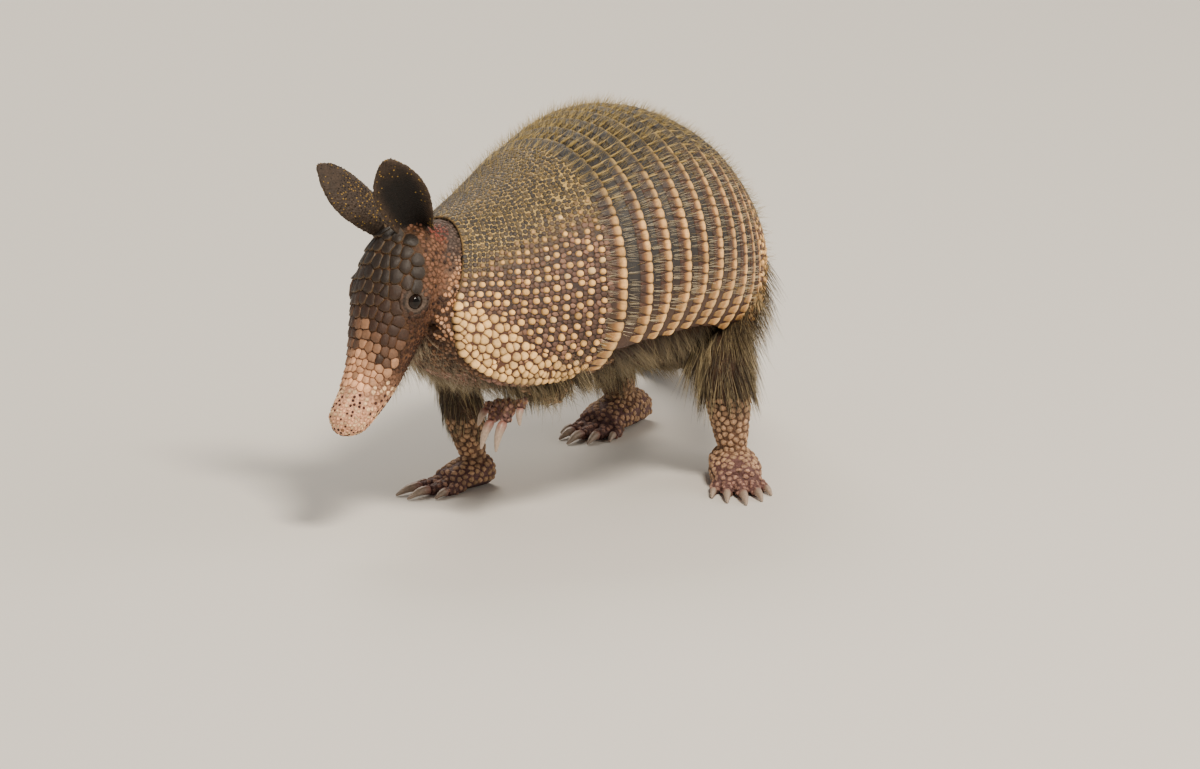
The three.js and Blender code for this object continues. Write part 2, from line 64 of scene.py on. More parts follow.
def hex_colour(code):
    """An sRGB hex colour as linear red, green and blue."""
    channels = [int(code[i : i + 2], 16) / 255 for i in (1, 3, 5)]
    return tuple(c / 12.92 if c <= 0.04045 else ((c + 0.055) / 1.055) ** 2.4 for c in channels)


def paint(code):
    """A hex colour as a row that numpy can mix."""
    return np.array(hex_colour(code))


# ---- The body's form, in millimetres, as the solids have it ------------------------------------


def keyed(*keys):
    """A smooth curve through (position, value) keys."""
    places, values = np.array(keys, float).T
    slopes = np.empty(len(keys))
    slopes[1:-1] = (values[2:] - values[:-2]) / (places[2:] - places[:-2])
    slopes[0] = (values[1] - values[0]) / (places[1] - places[0])
    slopes[-1] = (values[-1] - values[-2]) / (places[-1] - places[-2])

    def at(position):
        p = np.clip(position, places[0], places[-1])
        i = np.clip(np.searchsorted(places, p, side="right") - 1, 0, len(keys) - 2)
        span = places[i + 1] - places[i]
        f = (p - places[i]) / span
        start = values[i] * (2 * f**3 - 3 * f**2 + 1) + slopes[i] * span * (f**3 - 2 * f**2 + f)
        return start + values[i + 1] * (3 * f**2 - 2 * f**3) + slopes[i + 1] * span * (f**3 - f**2)

    return at


def smooth(low, high, value):
    """0 below low, 1 above high, and a smooth step between them."""
    f = np.clip((np.asarray(value, float) - low) / (high - low), 0, 1)
    return f * f * (3 - 2 * f)


def blend(a, b, share):
    """Mixes colours or points row by row. A colour may be a hex code."""
    a, b = (paint(row) if isinstance(row, str) else row for row in (a, b))
    share = np.asarray(share, float)[..., None]
    return a * (1 - share) + b * share


def unit(rows):
    """Rows scaled to length one."""
    return rows / np.maximum(np.linalg.norm(rows, axis=-1, keepdims=True), 1e-9)


SHELL_STEPS = 90  # points that measure a row across half of the shell
HEAD_STEPS = 60  # the same for the head


def run_of(track):
    """How far along a row of points each of them is."""
    return np.concatenate([[0], np.cumsum(np.linalg.norm(np.diff(track, axis=0), axis=1))])


def degrees_round(away, run, steps):
    """Degrees round at distances from the midline, from the run and the degrees of a row of points."""
    return np.sign(away) * np.interp(np.abs(away), run, steps)


def varied(rng, count, amount, low=0.6, high=1.4):
    """A lightness near one for each scute, as a column that its colour is multiplied by."""
    return (1 + amount * rng.normal(0, 1, count))[:, None].clip(low, high)


SHOULDER_END = 72.5
FIRST_BAND_LENGTH = 13
BAND_LENGTH = 11.3
BAND_COUNT = 9
SHELL_LENGTH = 283
SHELL_THICK = 2.8
BAND_TUCK = 1.3
BEND_START = -16.5
BEND_RADIUS = 1 / math.radians(0.246)

# The rings of the body: distance along the back, place of the ring's top, lean, and how far it reaches
# to each side, up, down to the shell's edge, and down at the belly.
RING_KEYS = ("x", "z", "lean", "half", "above", "below", "belly")
RINGS = (
    (0, -96.8, 145.1, 30, 28.9, 50.7, 40.1, 6),
    (38.9, -61.4, 157.5, 21, 48.4, 70.8, 46, 34),
    (77.9, -23.6, 172.3, 8, 64.3, 72, 46, 51.9),
    (128.6, 16.5, 179.9, 4, 67.8, 68.4, 54.3, 59),
    (178.2, 60.2, 161.7, 8, 58.4, 69, 49, 54.3),
    (228.9, 97.3, 132.2, 30, 49.6, 59, 42.5, 38.9),
    (265.5, 120.4, 102.7, 50, 36.6, 40.1, 33, 30.7),
    (290.3, 129.8, 79.1, 64, 20.6, 23.6, 20.1, 20.1),
)
RING = {key: keyed(*((ring[0], ring[i + 1]) for ring in RINGS)) for i, key in enumerate(RING_KEYS)}
FRONT_REACH = keyed(
    (0, 78), (4.7, 90), (10.6, 104), (18.9, 110), (30.7, 114), (46, 119), (59, 125), (72, 127)
)
REAR_REACH = keyed(
    (72, 115), (89.7, 117), (110.9, 122), (136.9, 124), (169.9, 123), (224.2, 112), (265.5, 95), (283.2, 75)
)


def shell_reach(u):
    """How far round the shell reaches, in degrees from the midline."""
    return np.where(u < SHOULDER_END, FRONT_REACH(u), REAR_REACH(u))


def band_end(band):
    """Where a band ends, along the back."""
    return SHOULDER_END + FIRST_BAND_LENGTH + (band - 1) * BAND_LENGTH


def bent(points):
    """Bends points of the straight body sideways behind the shoulders."""
    x, y, z = points[..., 0], points[..., 1], points[..., 2]
    turn = np.maximum(0, x - BEND_START) / BEND_RADIUS
    arm = BEND_RADIUS - y
    curved = np.stack([BEND_START + arm * np.sin(turn), BEND_RADIUS - arm * np.cos(turn), z], -1)
    return np.where(turn[..., None] > 0, curved, points)


def raw_body_point(u, phi, rise=0.0, below="below"):
    """A point of the body at u along the back and phi degrees round, before the model is centred."""
    u, phi = np.broadcast_arrays(np.asarray(u, float), np.asarray(phi, float))
    lean, turn = np.radians(RING["lean"](u)), np.radians(phi)
    reach = np.where(np.cos(turn) > 0, RING["above"](u), RING[below](u)) + rise
    height = -RING["above"](u) + reach * np.cos(turn)
    aside = (RING["half"](u) + rise) * np.sin(turn)
    return bent(
        np.stack([RING["x"](u) + height * np.sin(lean), aside, RING["z"](u) + height * np.cos(lean)], -1)
    )


class Tube:
    """A body part round a curved line. Places on it are t from 0 to 1 and phi degrees round from its top."""

    def __init__(self, path, half, above=None, below=None, top=(0, 0, 1)):
        path = np.array(path, float)
        chords = np.linalg.norm(np.diff(path, axis=0), axis=1)
        stations = np.concatenate([[0], np.cumsum(chords)]) / chords.sum()
        self.lines = [keyed(*zip(stations, path[:, axis])) for axis in range(3)]
        self.half = half
        self.above = above or half
        self.below = below or self.above
        self.top = np.array(top, float)

    def line(self, t):
        """The middle line."""
        return np.stack([line(t) for line in self.lines], -1)

    def axes(self, t):
        """The line's direction, the side and the top at places along it."""
        step = 0.004
        along = unit(self.line(np.minimum(1, t + step)) - self.line(np.maximum(0, t - step)))
        up = unit(self.top - along * (along @ self.top)[..., None])
        return along, np.cross(along, up), up

    def point(self, t, phi, rise=0.0):
        """A point of the surface, lifted by rise."""
        t, phi = np.broadcast_arrays(np.asarray(t, float), np.asarray(phi, float))
        turn = np.radians(phi)
        _, side, up = self.axes(t)
        reach = np.where(np.cos(turn) > 0, self.above(t), self.below(t)) + rise
        across = (self.half(t) + rise) * np.sin(turn)
        return self.line(t) + side * across[..., None] + up * (reach * np.cos(turn))[..., None]

    def outward(self, t, phi):
        """The direction out of the surface."""
        return unit(self.point(t, phi, 1.0) - self.point(t, phi))


HEAD_LENGTH = 104
HEAD_PITCH = keyed((0, 48), (0.3, 64), (0.62, 66), (0.8, 50), (1, 42))
# The head's sections from the back of the skull to the nose: place, reach aside, above and below.
HEAD_SECTIONS = (
    (0, 10.6, 10.6, 10.6),
    (0.1, 18.3, 18.3, 18.9),
    (0.24, 21.2, 19.4, 21.8),
    (0.38, 20.3, 17.7, 21.2),
    (0.52, 17, 15.3, 18.4),
    (0.66, 13.9, 12.7, 15.6),
    (0.82, 11.3, 10.4, 12.4),
    (0.94, 9.4, 8.7, 9.9),
    (1, 6.6, 6.1, 7.3),
)
EYE_RADIUS = 4.6
EYE_PLACE = {"t": 0.33, "phi": 72, "depth": 3}


def head_path():
    """The head's middle line, which starts at the back of the skull and turns down by its pitch."""
    stations = 48
    pitch = np.radians(HEAD_PITCH((np.arange(stations) + 0.5) / stations))
    steps = np.stack([-np.cos(pitch), 0 * pitch, -np.sin(pitch)], 1) * HEAD_LENGTH / stations
    return np.vstack([[0, 0, 0], np.cumsum(steps, axis=0)]) + (-111, 0, 140.5)


def head_sizes():
    """The head's reach aside, above and below, along it."""
    return [keyed(*((section[0], section[i]) for section in HEAD_SECTIONS)) for i in (1, 2, 3)]


def model_shift():
    """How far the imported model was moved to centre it, from where an eye is."""
    low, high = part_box("eye_right")
    raw = Tube(head_path(), *head_sizes()).point(EYE_PLACE["t"], EYE_PLACE["phi"], -EYE_PLACE["depth"])
    return (np.array(low) + np.array(high)) / 2 / MM - raw


SHIFT = model_shift()
HEAD = Tube(head_path() + SHIFT, *head_sizes())


def body_point(u, phi, rise=0.0, below="below"):
    """A point of the body in the model's own place."""
    return raw_body_point(u, phi, rise, below) + SHIFT


def skin_tube(path, half, above=None, below=None, top=(0, 0, 1)):
    """A Tube drawn in the part's own numbers and set in the model's place."""
    return Tube(np.array(path, float) + SHIFT, half, above, below, top)


NECK = skin_tube(
    [(-113.3, 0, 132.2), (-108.6, 0, 119.2), (-94.4, 0, 109.7), (-77.9, 0, 106.2)],
    keyed((0, 18.9), (0.4, 26), (1, 35.4)),
    keyed((0, 17.7), (0.4, 26), (1, 35.4)),
    keyed((0, 18.9), (0.4, 28.3), (1, 40.1)),
)


def leg_tube(top, bend, ankle, radii):
    """A whole leg, from inside the body through the knee or elbow to the ankle."""
    thigh, shank, ankle_half = radii
    half = keyed((0, thigh), (0.5, shank), (0.72, shank * 0.9), (0.88, shank * 0.68), (1, ankle_half))
    middle = (np.array(bend) + np.array(ankle)) / 2
    return skin_tube([top, bend, middle, ankle], half, top=(-1, 0, 0))


def bent_place(x, y, z):
    """A single place, bent with the body."""
    return tuple(bent(np.array([x, y, z], float)))


# A leg's radius at the thigh, the shank and the ankle.
HIND_RADII = (20.1, 14.8, 6.4)
FORE_RADII = (16.5, 12.4, 5.5)
LEGS = {
    "hind_left": leg_tube(bent_place(80.2, -18.9, 94.4), (43.7, -44.8, 60.2), (48.4, -46, 15.3), HIND_RADII),
    "hind_right": leg_tube(bent_place(80.2, 18.9, 94.4), (61.4, 57.8, 59), (87.3, 67.3, 15.3), HIND_RADII),
    "fore_right": leg_tube((-75.5, 21.2, 94.4), (-56.6, 35.4, 59), (-43.7, 35.4, 13), FORE_RADII),
    "fore_left": leg_tube((-68.4, -18.9, 99.1), (-55.5, -31.9, 63.7), (-75.5, -27.1, 69.6), FORE_RADII),
}
# Where each foot's ankle stands, and which way its toes point, in degrees from +X.
FEET = {
    "hind_left": ((48.4, -46, 0), 232),
    "hind_right": ((87.3, 67.3, 0), 192),
    "fore_right": ((-43.7, 35.4, 0), 174),
    "fore_left": ((-70.8, -26, 72), 184),
}
CLAWS = {
    "hind": ("inner", "second", "middle", "fourth", "outer"),
    "fore": ("inner", "second", "third", "outer"),
}

TAIL_LENGTH = 290
TAIL_RADIUS = keyed((0, 20.1), (0.12, 17.1), (0.35, 12.4), (0.65, 7.6), (0.9, 3.8), (1, 1.7))


def tail_tube():
    """The tail, which curls to the animal's right with its second half on the floor."""
    heading, curl = math.radians(32), math.radians(100)
    radius = TAIL_LENGTH / curl
    root = bent_place(108.5, 0, 0)
    lift = keyed((0, 61.4), (0.08, 47.2), (0.2, 24.8), (0.34, 7.7), (0.46, 0.7), (0.52, 0), (1, 0))
    t = np.linspace(0, 1, 41)
    turned = heading + curl * t
    x = root[0] + radius * (np.sin(turned) - math.sin(heading))
    y = root[1] + radius * (math.cos(heading) - np.cos(turned))
    return skin_tube(np.stack([x, y, lift(t) + TAIL_RADIUS(t) * 0.966], 1), TAIL_RADIUS)


TAIL = tail_tube()
TAIL_SKIN_DEPTH = 0.7


def tail_skin(t, phi, rise=0.0):
    """A point of the tail's skin, lifted by rise but never under the floor."""
    points = TAIL.point(t, phi, rise - TAIL_SKIN_DEPTH)
    points[..., 2] = np.maximum(points[..., 2], 0.0)
    return points


EAR_LENGTH = 45
EAR_ARC = keyed((0, 13.6), (0.3, 14.9), (0.6, 14.2), (0.85, 9), (1, 1.8))
EAR_RADIUS = keyed((0, 7.7), (0.25, 12.4), (0.6, 18.9), (1, 17.7))
EARS = {
    "left": ((-119.8, -4.1, 147.5), (-22.8, -7.4, 29.5), (-0.7, -0.7, 0)),
    "right": ((-119.8, 8.5, 146), (-21.5, 16.7, 20.1), (0.02, 0.77, -0.62)),
}


def ear_point(side, u, v, depth):
    """A point of an ear: u from root to tip, v across from -1 to 1, depth in from its back."""
    root, rise, face = (np.array(row, float) for row in EARS[side])
    up = rise / np.linalg.norm(rise)
    aside = unit(np.cross(up, face))
    front = np.cross(aside, up)
    turn = v * EAR_ARC(u) / EAR_RADIUS(u)
    reach = EAR_RADIUS(u) - depth
    out = EAR_RADIUS(u) - reach * np.cos(turn)
    middle = root + SHIFT + np.multiply.outer(EAR_LENGTH * u, up)
    return middle + np.multiply.outer(reach * np.sin(turn), aside) + np.multiply.outer(out, front)


# ---- Making meshes ------------------------------------------------------------------------------


def select_only(piece):
    """Leaves just this object selected, and makes it active."""
    bpy.ops.object.select_all(action="DESELECT")
    piece.select_set(True)
    bpy.context.view_layer.objects.active = piece


def edit_whole():
    """Opens the active object in edit mode, with all of it selected."""
    bpy.ops.object.mode_set(mode="EDIT")
    bpy.ops.mesh.select_all(action="SELECT")


def merge_doubles(gap):
    """Merges the active object's points that are closer than a gap in millimetres."""
    edit_whole()
    bpy.ops.mesh.remove_doubles(threshold=gap * MM)
    bpy.ops.object.mode_set(mode="OBJECT")


def face_outwards():
    """In edit mode, turns all faces outwards."""
    bpy.ops.mesh.select_all(action="SELECT")
    bpy.ops.mesh.normals_make_consistent(inside=False)


def apply_modifier(piece, kind, **settings):
    """Gives the active object a modifier with its settings, and applies it."""
    modifier = piece.modifiers.new(kind, kind)
    for key, value in settings.items():
        setattr(modifier, key, value)
    bpy.ops.object.modifier_apply(modifier=modifier.name)


def rows_of(items, name, kind=np.float32):
    """What each of a mesh's items has of three numbers, one item to a row."""
    flat = np.zeros(len(items) * 3, kind)
    items.foreach_get(name, flat)
    return flat.reshape(-1, 3)


def coordinates(mesh):
    """A mesh's points, one to a row."""
    return rows_of(mesh.vertices, "co").astype(float)


def normals_of(mesh):
    """The directions out of a mesh at its points."""
    return rows_of(mesh.vertex_normals, "vector").astype(float)


def triangles_of(mesh):
    """A mesh's triangles, as rows of point numbers."""
    mesh.calc_loop_triangles()
    return rows_of(mesh.loop_triangles, "vertices", np.int32)


def put_points(mesh, points):
    """Sets a mesh's points to places in millimetres."""
    mesh.vertices.foreach_set("co", (points * MM).astype(np.float32).ravel())


class Stock:
    """Points, triangles and tints that are gathered into one mesh."""

    def __init__(self):
        self.points, self.faces, self.tints, self.places = [], [], [], []
        self.count = 0

    def add(self, points, faces, tints, places=None):
        """Adds points in millimetres. The places are on the coat's unwrap, one for each point."""
        self.points.append(points)
        self.faces.append(np.asarray(faces) + self.count)
        self.tints.append(np.broadcast_to(tints, points.shape))
        if places is not None:
            self.places.append(places)
        self.count += len(points)

    def add_copies(self, points, faces, tints, places=None):
        """Adds copies of one shape. The points are those of each copy, and the faces those of one."""
        copies, size = points.shape[:2]
        numbers = faces + (np.arange(copies) * size)[:, None, None]
        places = None if places is None else places.reshape(-1, 2)
        self.add(points.reshape(-1, 3), numbers.reshape(-1, 3), tints.reshape(-1, 3), places)

    def piece(self, name, material, slot, *replaced):
        """The gathered mesh as a smooth, named piece of the model."""
        mesh = bpy.data.meshes.new(name)
        faces = np.vstack(self.faces)
        mesh.vertices.add(self.count)
        put_points(mesh, np.vstack(self.points))
        mesh.loops.add(faces.size)
        mesh.loops.foreach_set("vertex_index", faces.astype(np.int32).ravel())
        mesh.polygons.add(len(faces))
        mesh.polygons.foreach_set("loop_start", np.arange(0, faces.size, 3, dtype=np.int32))
        mesh.update(calc_edges=True)
        give_tint(mesh, np.vstack(self.tints))
        if self.places:
            where = np.vstack(self.places)[faces.ravel()]
            mesh.uv_layers.new(name="OFBake").uv.foreach_set("vector", where.astype(np.float32).ravel())
        piece = bpy.data.objects.new(name, mesh)
        bpy.context.scene.collection.objects.link(piece)
        return finished(piece, material, slot, *replaced)


def give_tint(mesh, tints):
    """Stores the colour of each point for the materials to read."""
    colour = np.ones((len(tints), 4), np.float32)
    colour[:, :3] = tints
    layer = mesh.attributes.get("tint") or mesh.attributes.new("tint", "FLOAT_COLOR", "POINT")
    layer.data.foreach_set("color", colour.ravel())


def finished(piece, material, slot, *replaced):
    """Shades a piece smooth, gives it its material, and sets it on the model."""
    piece.data.polygons.foreach_set("use_smooth", np.ones(len(piece.data.polygons), bool))
    piece.data.materials.clear()
    piece.data.materials.append(material)
    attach(piece, "root")
    if replaced:
        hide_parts(*replaced)
    return piece


def grid_faces(rows, columns, wrapped=False):
    """Triangles between rows of points; wrapped rows close on themselves."""
    i, j = np.meshgrid(np.arange(rows - 1), np.arange(columns if wrapped else columns - 1), indexing="ij")
    a, b = i * columns + j, i * columns + (j + 1) % columns
    halves = [np.stack([a, b, b + columns], -1), np.stack([a, b + columns, a + columns], -1)]
    return np.concatenate(halves).reshape(-1, 3)


def ring_body(place, ts, sides):
    """A closed body from rings of place(t, phi), with both ends fanned to their middles."""
    phi = (np.arange(sides) + 0.5) * 360 / sides
    rings = np.array([place(np.full(sides, t), phi) for t in ts])
    points = np.vstack([rings.reshape(-1, 3), rings[0].mean(0), rings[-1].mean(0)])
    j = np.arange(sides)
    last = (len(ts) - 1) * sides
    start = np.stack([(j + 1) % sides, j, np.full(sides, len(points) - 2)], 1)
    end = np.stack([last + j, last + (j + 1) % sides, np.full(sides, len(points) - 1)], 1)
    return points, np.vstack([grid_faces(len(ts), sides, True), start, end])


def modelled(make):
    """Runs a function that makes one object, and returns the object's points and triangles."""
    bpy.ops.object.select_all(action="DESELECT")
    make()
    bpy.ops.object.mode_set(mode="OBJECT")
    piece = bpy.context.object
    shape = coordinates(piece.data), triangles_of(piece.data)
    bpy.data.objects.remove(piece)
    return shape


def select_faces(test):
    """In edit mode, selects the faces that pass a test of their middle and normal."""
    bpy.ops.mesh.select_mode(type="FACE")
    bpy.ops.mesh.select_all(action="DESELECT")
    bpy.ops.object.mode_set(mode="OBJECT")
    for face in bpy.context.object.data.polygons:
        face.select = test(face.center, face.normal)
    bpy.ops.object.mode_set(mode="EDIT")


LOW = ((0.1, 0.52), (0.3, 0.4))
TIGHT = ((0.02, 0.66), (0.08, 0.24))
DOMED = ((0.1, 0.5), (0.24, 0.3), (0.3, 0.15))


def scute_shape(sides, profile, turn=0.0):
    """A scute of radius one: a root below the surface, and a crown at height one, raised in steps.

    Each step of the profile is how far it draws in and how far it rises, and turn is how far the outline
    is turned."""

    def make():
        bpy.ops.mesh.primitive_cylinder_add(
            vertices=sides, radius=1, depth=1.4, location=(0, 0, -0.7), rotation=(0, 0, turn)
        )
        bpy.ops.object.transform_apply(location=True, rotation=True)
        bpy.ops.object.mode_set(mode="EDIT")
        select_faces(lambda middle, normal: normal.z > 0.9)
        for inward, upward in profile:
            bpy.ops.mesh.inset(thickness=inward, depth=upward)
        bpy.ops.mesh.poke(offset=1 - sum(upward for _, upward in profile))
        bpy.ops.mesh.select_all(action="SELECT")
        bpy.ops.mesh.quads_convert_to_tris()

    return modelled(make)


def block_shape():
    """A long scute from -1 to 1: a sheet of faces drawn down into a block, crowned along its middle."""

    def make():
        bpy.ops.mesh.primitive_grid_add(x_subdivisions=6, y_subdivisions=4, size=2)
        edit_whole()
        bpy.ops.mesh.extrude_region_move(TRANSFORM_OT_translate={"value": (0, 0, 1)})
        face_outwards()
        bpy.ops.mesh.quads_convert_to_tris()

    return modelled(make)


def hair_shape(joints):
    """A hair of radius and length one: a triangle drawn out step by step to a point."""

    def make():
        bpy.ops.mesh.primitive_circle_add(vertices=3, radius=1, fill_type="NGON")
        edit_whole()
        for joint in range(1, joints + 1):
            taper = (1 - joint / (joints + 0.4)) / (1 - (joint - 1) / (joints + 0.4))
            bpy.ops.mesh.extrude_region_move(TRANSFORM_OT_translate={"value": (0, 0, 1 / joints)})
            bpy.ops.transform.resize(value=(taper, taper, 1))
        bpy.ops.mesh.merge(type="CENTER")
        face_outwards()
        bpy.ops.mesh.quads_convert_to_tris()

    return modelled(make)


# ---- Scutes -------------------------------------------------------------------------------------


def tree_of(points):
    """A search tree of points."""
    tree = KDTree(len(points))
    for i, point in enumerate(points.tolist()):
        tree.insert(point, i)
    tree.balance()
    return tree


def neighbours(points, count):
    """For each point, the numbers of those nearest to it."""
    tree = tree_of(points)
    found = [[hit[1] for hit in tree.find_n(point, count + 1)] for point in points]
    return np.array([row[1:] for row in found])


class Ground:
    """What scutes are laid on. It carries offsets from seeds, in millimetres, on to a surface."""

    def __init__(self, place, a, b):
        """Seeds on a surface place(a, b, rise)."""
        self.place, self.a, self.b = place, np.asarray(a, float), np.asarray(b, float)
        step = 0.002 * max(np.ptp(self.a), 1e-3)
        self.seeds = place(self.a, self.b, 0.0)
        forward = (place(self.a + step, self.b, 0.0) - place(self.a - step, self.b, 0.0)) / (2 * step)
        aside = place(self.a, self.b + 0.5, 0.0) - place(self.a, self.b - 0.5, 0.0)
        self.skew = -np.sum(forward * aside, axis=1) / np.maximum(np.sum(aside * aside, axis=1), 1e-9)
        forward = forward + aside * self.skew[:, None]
        self.scale_a = np.maximum(np.linalg.norm(forward, axis=1), 1e-6)
        self.scale_b = np.maximum(np.linalg.norm(aside, axis=1), 1e-6)
        self.along = unit(forward)
        self.normal = unit(np.cross(forward, aside))
        self.across = np.cross(self.normal, self.along)
        if np.mean(np.sum((place(self.a, self.b, 1.0) - self.seeds) * self.normal, axis=1)) < 0:
            self.normal, self.across = -self.normal, -self.across
        self.sense = np.sign(np.sum(self.across * aside, axis=1))

    def carry(self, chosen, x, y, z):
        """Points at offsets x along and y across from chosen seeds, lifted by z."""
        ahead = x / self.scale_a[chosen][:, None]
        a = self.a[chosen][:, None] + ahead
        b = self.b[chosen][:, None] + y * (self.sense / self.scale_b)[chosen][:, None]
        b = b + ahead * self.skew[chosen][:, None]
        return self.place(a, b, z)


class SkinGround:
    """The finished skin as ground: each offset is dropped to the nearest point of the skin."""

    def __init__(self, skin, seeds, normals, lie):
        self.skin, self.seeds, self.normal = skin, seeds, unit(normals)
        self.along = unit(lie - self.normal * np.sum(lie * self.normal, axis=1, keepdims=True))
        self.across = np.cross(self.normal, self.along)

    def carry(self, chosen, x, y, z):
        seeds, along, across = self.seeds[chosen], self.along[chosen], self.across[chosen]
        flat = seeds[:, None] + along[:, None] * x[..., None] + across[:, None] * y[..., None]
        placed = self.skin.nearest(flat.reshape(-1, 3)).reshape(flat.shape)
        return placed + self.normal[chosen][:, None] * z[..., None]


NEIGHBOURS = 14  # nearest seeds that a scute makes room for
LEAST_REACH = 0.25  # a scute with less room than this is left out


def lay_scutes(
    stock, ground, shape, size, height, low, top, seam, chosen=None, weight=0.0, roundness=0.0, tilt=0.0
):
    """Fits a copy of a scute to each chosen seed, or to all, as wide as its neighbours leave room for.

    size is the most that one may reach, low and top are its colours at the edge and the crown, seam is the
    gap between two, weight lets a seed push its neighbours back, roundness makes its outline a circle, and
    tilt raises its far edge."""
    points, faces = shape
    count = len(ground.seeds)
    chosen = np.arange(count) if chosen is None else chosen
    size, height, weight = (np.broadcast_to(row, count) for row in (size, height, weight))
    near = neighbours(ground.seeds, min(NEIGHBOURS, count - 1))[chosen]
    offset = ground.seeds[near] - ground.seeds[chosen][:, None]
    x = np.sum(offset * ground.along[chosen][:, None], axis=2)
    y = np.sum(offset * ground.across[chosen][:, None], axis=2)
    distance = np.maximum(np.hypot(x, y), 1e-3)
    limit = (distance**2 + weight[chosen][:, None] - weight[near]) / (2 * distance)
    angle = np.arctan2(points[:, 1], points[:, 0])
    facing = np.cos(angle[None, None, :] - np.arctan2(y, x)[:, :, None])
    room = np.where(facing > 0.05, limit[:, :, None] / np.maximum(facing, 0.05), np.inf).min(1)
    room = np.minimum(room, size[chosen][:, None])
    room = room * (1 - roundness) + room.min(1, keepdims=True) * roundness - seam / 2
    kept = room.min(1) > LEAST_REACH
    room, chosen = room[kept], chosen[kept]
    radius = np.hypot(points[:, 0], points[:, 1]) * room
    crown = points[:, 2] * (1 + tilt * points[:, 0]) * height[chosen][:, None]
    lift = np.where(points[:, 2] > 0, crown, points[:, 2])
    made = ground.carry(chosen, radius * np.cos(angle), radius * np.sin(angle), lift)
    share = smooth(0.15, 0.95, np.clip(points[:, 2], 0, 1))[None, :, None]
    tints = low[chosen][:, None] * (1 - share) + top[chosen][:, None] * share
    stock.add_copies(made, faces, tints)


ROOT_SHADE = (0.52, 0.34, 0.25)  # a long scute is this much redder and darker where it leaves the dark front


def lay_blocks(stock, shape, u, phi, length, outline, height, low, rim, pale):
    """Sets a long scute on the shell at each place, square to the shell's rings.

    outline is its half width in front and at the rear, low and rim its colours in front and at the rear, and
    pale is where between them the rim's colour begins."""
    points, faces = shape
    along = (points[:, 0] + 1) / 2
    aside = np.sign(points[:, 1]) * np.interp(np.abs(points[:, 1]), [0, 0.5, 1], [0, 0.66, 1])
    forward = body_point(u + 0.5, phi) - body_point(u - 0.5, phi)
    span = body_point(u, phi + 0.5) - body_point(u, phi - 0.5)
    per_degree = np.linalg.norm(span, axis=1)[:, None]
    skew = -np.sum(forward * span, axis=1)[:, None] / per_degree**2
    half = outline[0] + (outline[1] - outline[0]) * np.sin(along * math.pi / 2)
    ahead = (along - 0.5 - 0.06 * smooth(0.6, 1, along) * np.abs(aside) ** 3) * length
    place_u = u[:, None] + ahead
    reach = shell_reach(place_u) - 0.3
    place_phi = np.clip(phi[:, None] + skew * ahead + aside * half / per_degree, -reach, reach)
    step = 0.3 + 0.7 * smooth(0.1, 0.75, along) - 0.25 * smooth(0.8, 1, along)
    crown = step * (1 - 0.24 * np.abs(aside) ** 2.5)
    lift = np.where(points[:, 2] > 0.5, crown * height, -1.2)
    made = body_point(place_u, place_phi, lift - SHELL_DROP)
    upper = np.where(points[:, 2] > 0.5, 1 - 0.6 * np.abs(aside) ** 4, 0.2)
    share = (smooth(0, 0.5, along[None] - pale[:, None]) * upper)[..., None]
    burnt = blend(np.array(ROOT_SHADE), np.ones(3), smooth(0.35, 0.85, along))
    tints = low[:, None] * (1 - share) + rim[:, None] * burnt * share
    stock.add_copies(made, faces, tints)


# ---- Materials ----------------------------------------------------------------------------------


def wire(tree, made, **inputs):
    """Gives a node's inputs, by name or by number as in _0, their values, or sockets or nodes to link."""
    for key, value in inputs.items():
        socket = made.inputs[int(key[1:]) if key[1:].isdigit() else key.replace("_", " ")]
        if isinstance(value, bpy.types.Node):
            value = value.outputs[0]
        if isinstance(value, bpy.types.NodeSocket):
            tree.links.new(value, socket)
        else:
            socket.default_value = value
    return made


def node(tree, kind, settings=None, **inputs):
    """Adds a node. Its settings are properties, and its inputs are values, sockets or nodes to link."""
    made = tree.nodes.new(f"ShaderNode{kind}")
    for key, value in (settings or {}).items():
        setattr(made, key, value)
    return wire(tree, made, **inputs)


def new_material(name):
    """A material: its nodes, its shader, the tint that its mesh carries, and the place on the model."""
    material = bpy.data.materials.new(name)
    material.use_nodes = True
    tree = material.node_tree
    tint = node(tree, "Attribute", {"attribute_name": "tint"})
    return material, tree, tree.nodes["Principled BSDF"], tint, node(tree, "TexCoord").outputs["Object"]


def per_metre(size):
    """The scale of a pattern whose cells have a size in millimetres."""
    return 1 / (size * MM)


def mottled(tree, tint, place, scale, low, high):
    """The tint made lighter and darker in patches of a given size, in millimetres."""
    patches = node(tree, "TexNoise", Vector=place, Scale=per_metre(scale), Detail=3.0)
    strength = node(tree, "MapRange", Value=patches, _3=low, _4=high, _1=0.3, _2=0.7)
    return node(tree, "VectorMath", {"operation": "SCALE"}, _0=tint, Scale=strength)


def shell_material():
    """Keratin over bone, grown in layers: satin, with fine pits and scratches that catch the light."""
    material, tree, shader, tint, place = new_material("keratin_scute_grown")
    patch, pit, depth = 1.6, 0.5, 0.25
    grain = node(tree, "TexNoise", Vector=place, Scale=per_metre(pit), Detail=4.0)
    wear = node(tree, "MapRange", Value=grain, _1=0.3, _2=0.7, _3=0.42, _4=0.66)
    relief = node(tree, "Bump", Height=grain, Distance=depth * MM)
    colour = mottled(tree, tint, place, patch, 0.78, 1.18)
    wire(tree, shader, Base_Color=colour, Roughness=wear, IOR=1.54, Normal=relief)
    return material


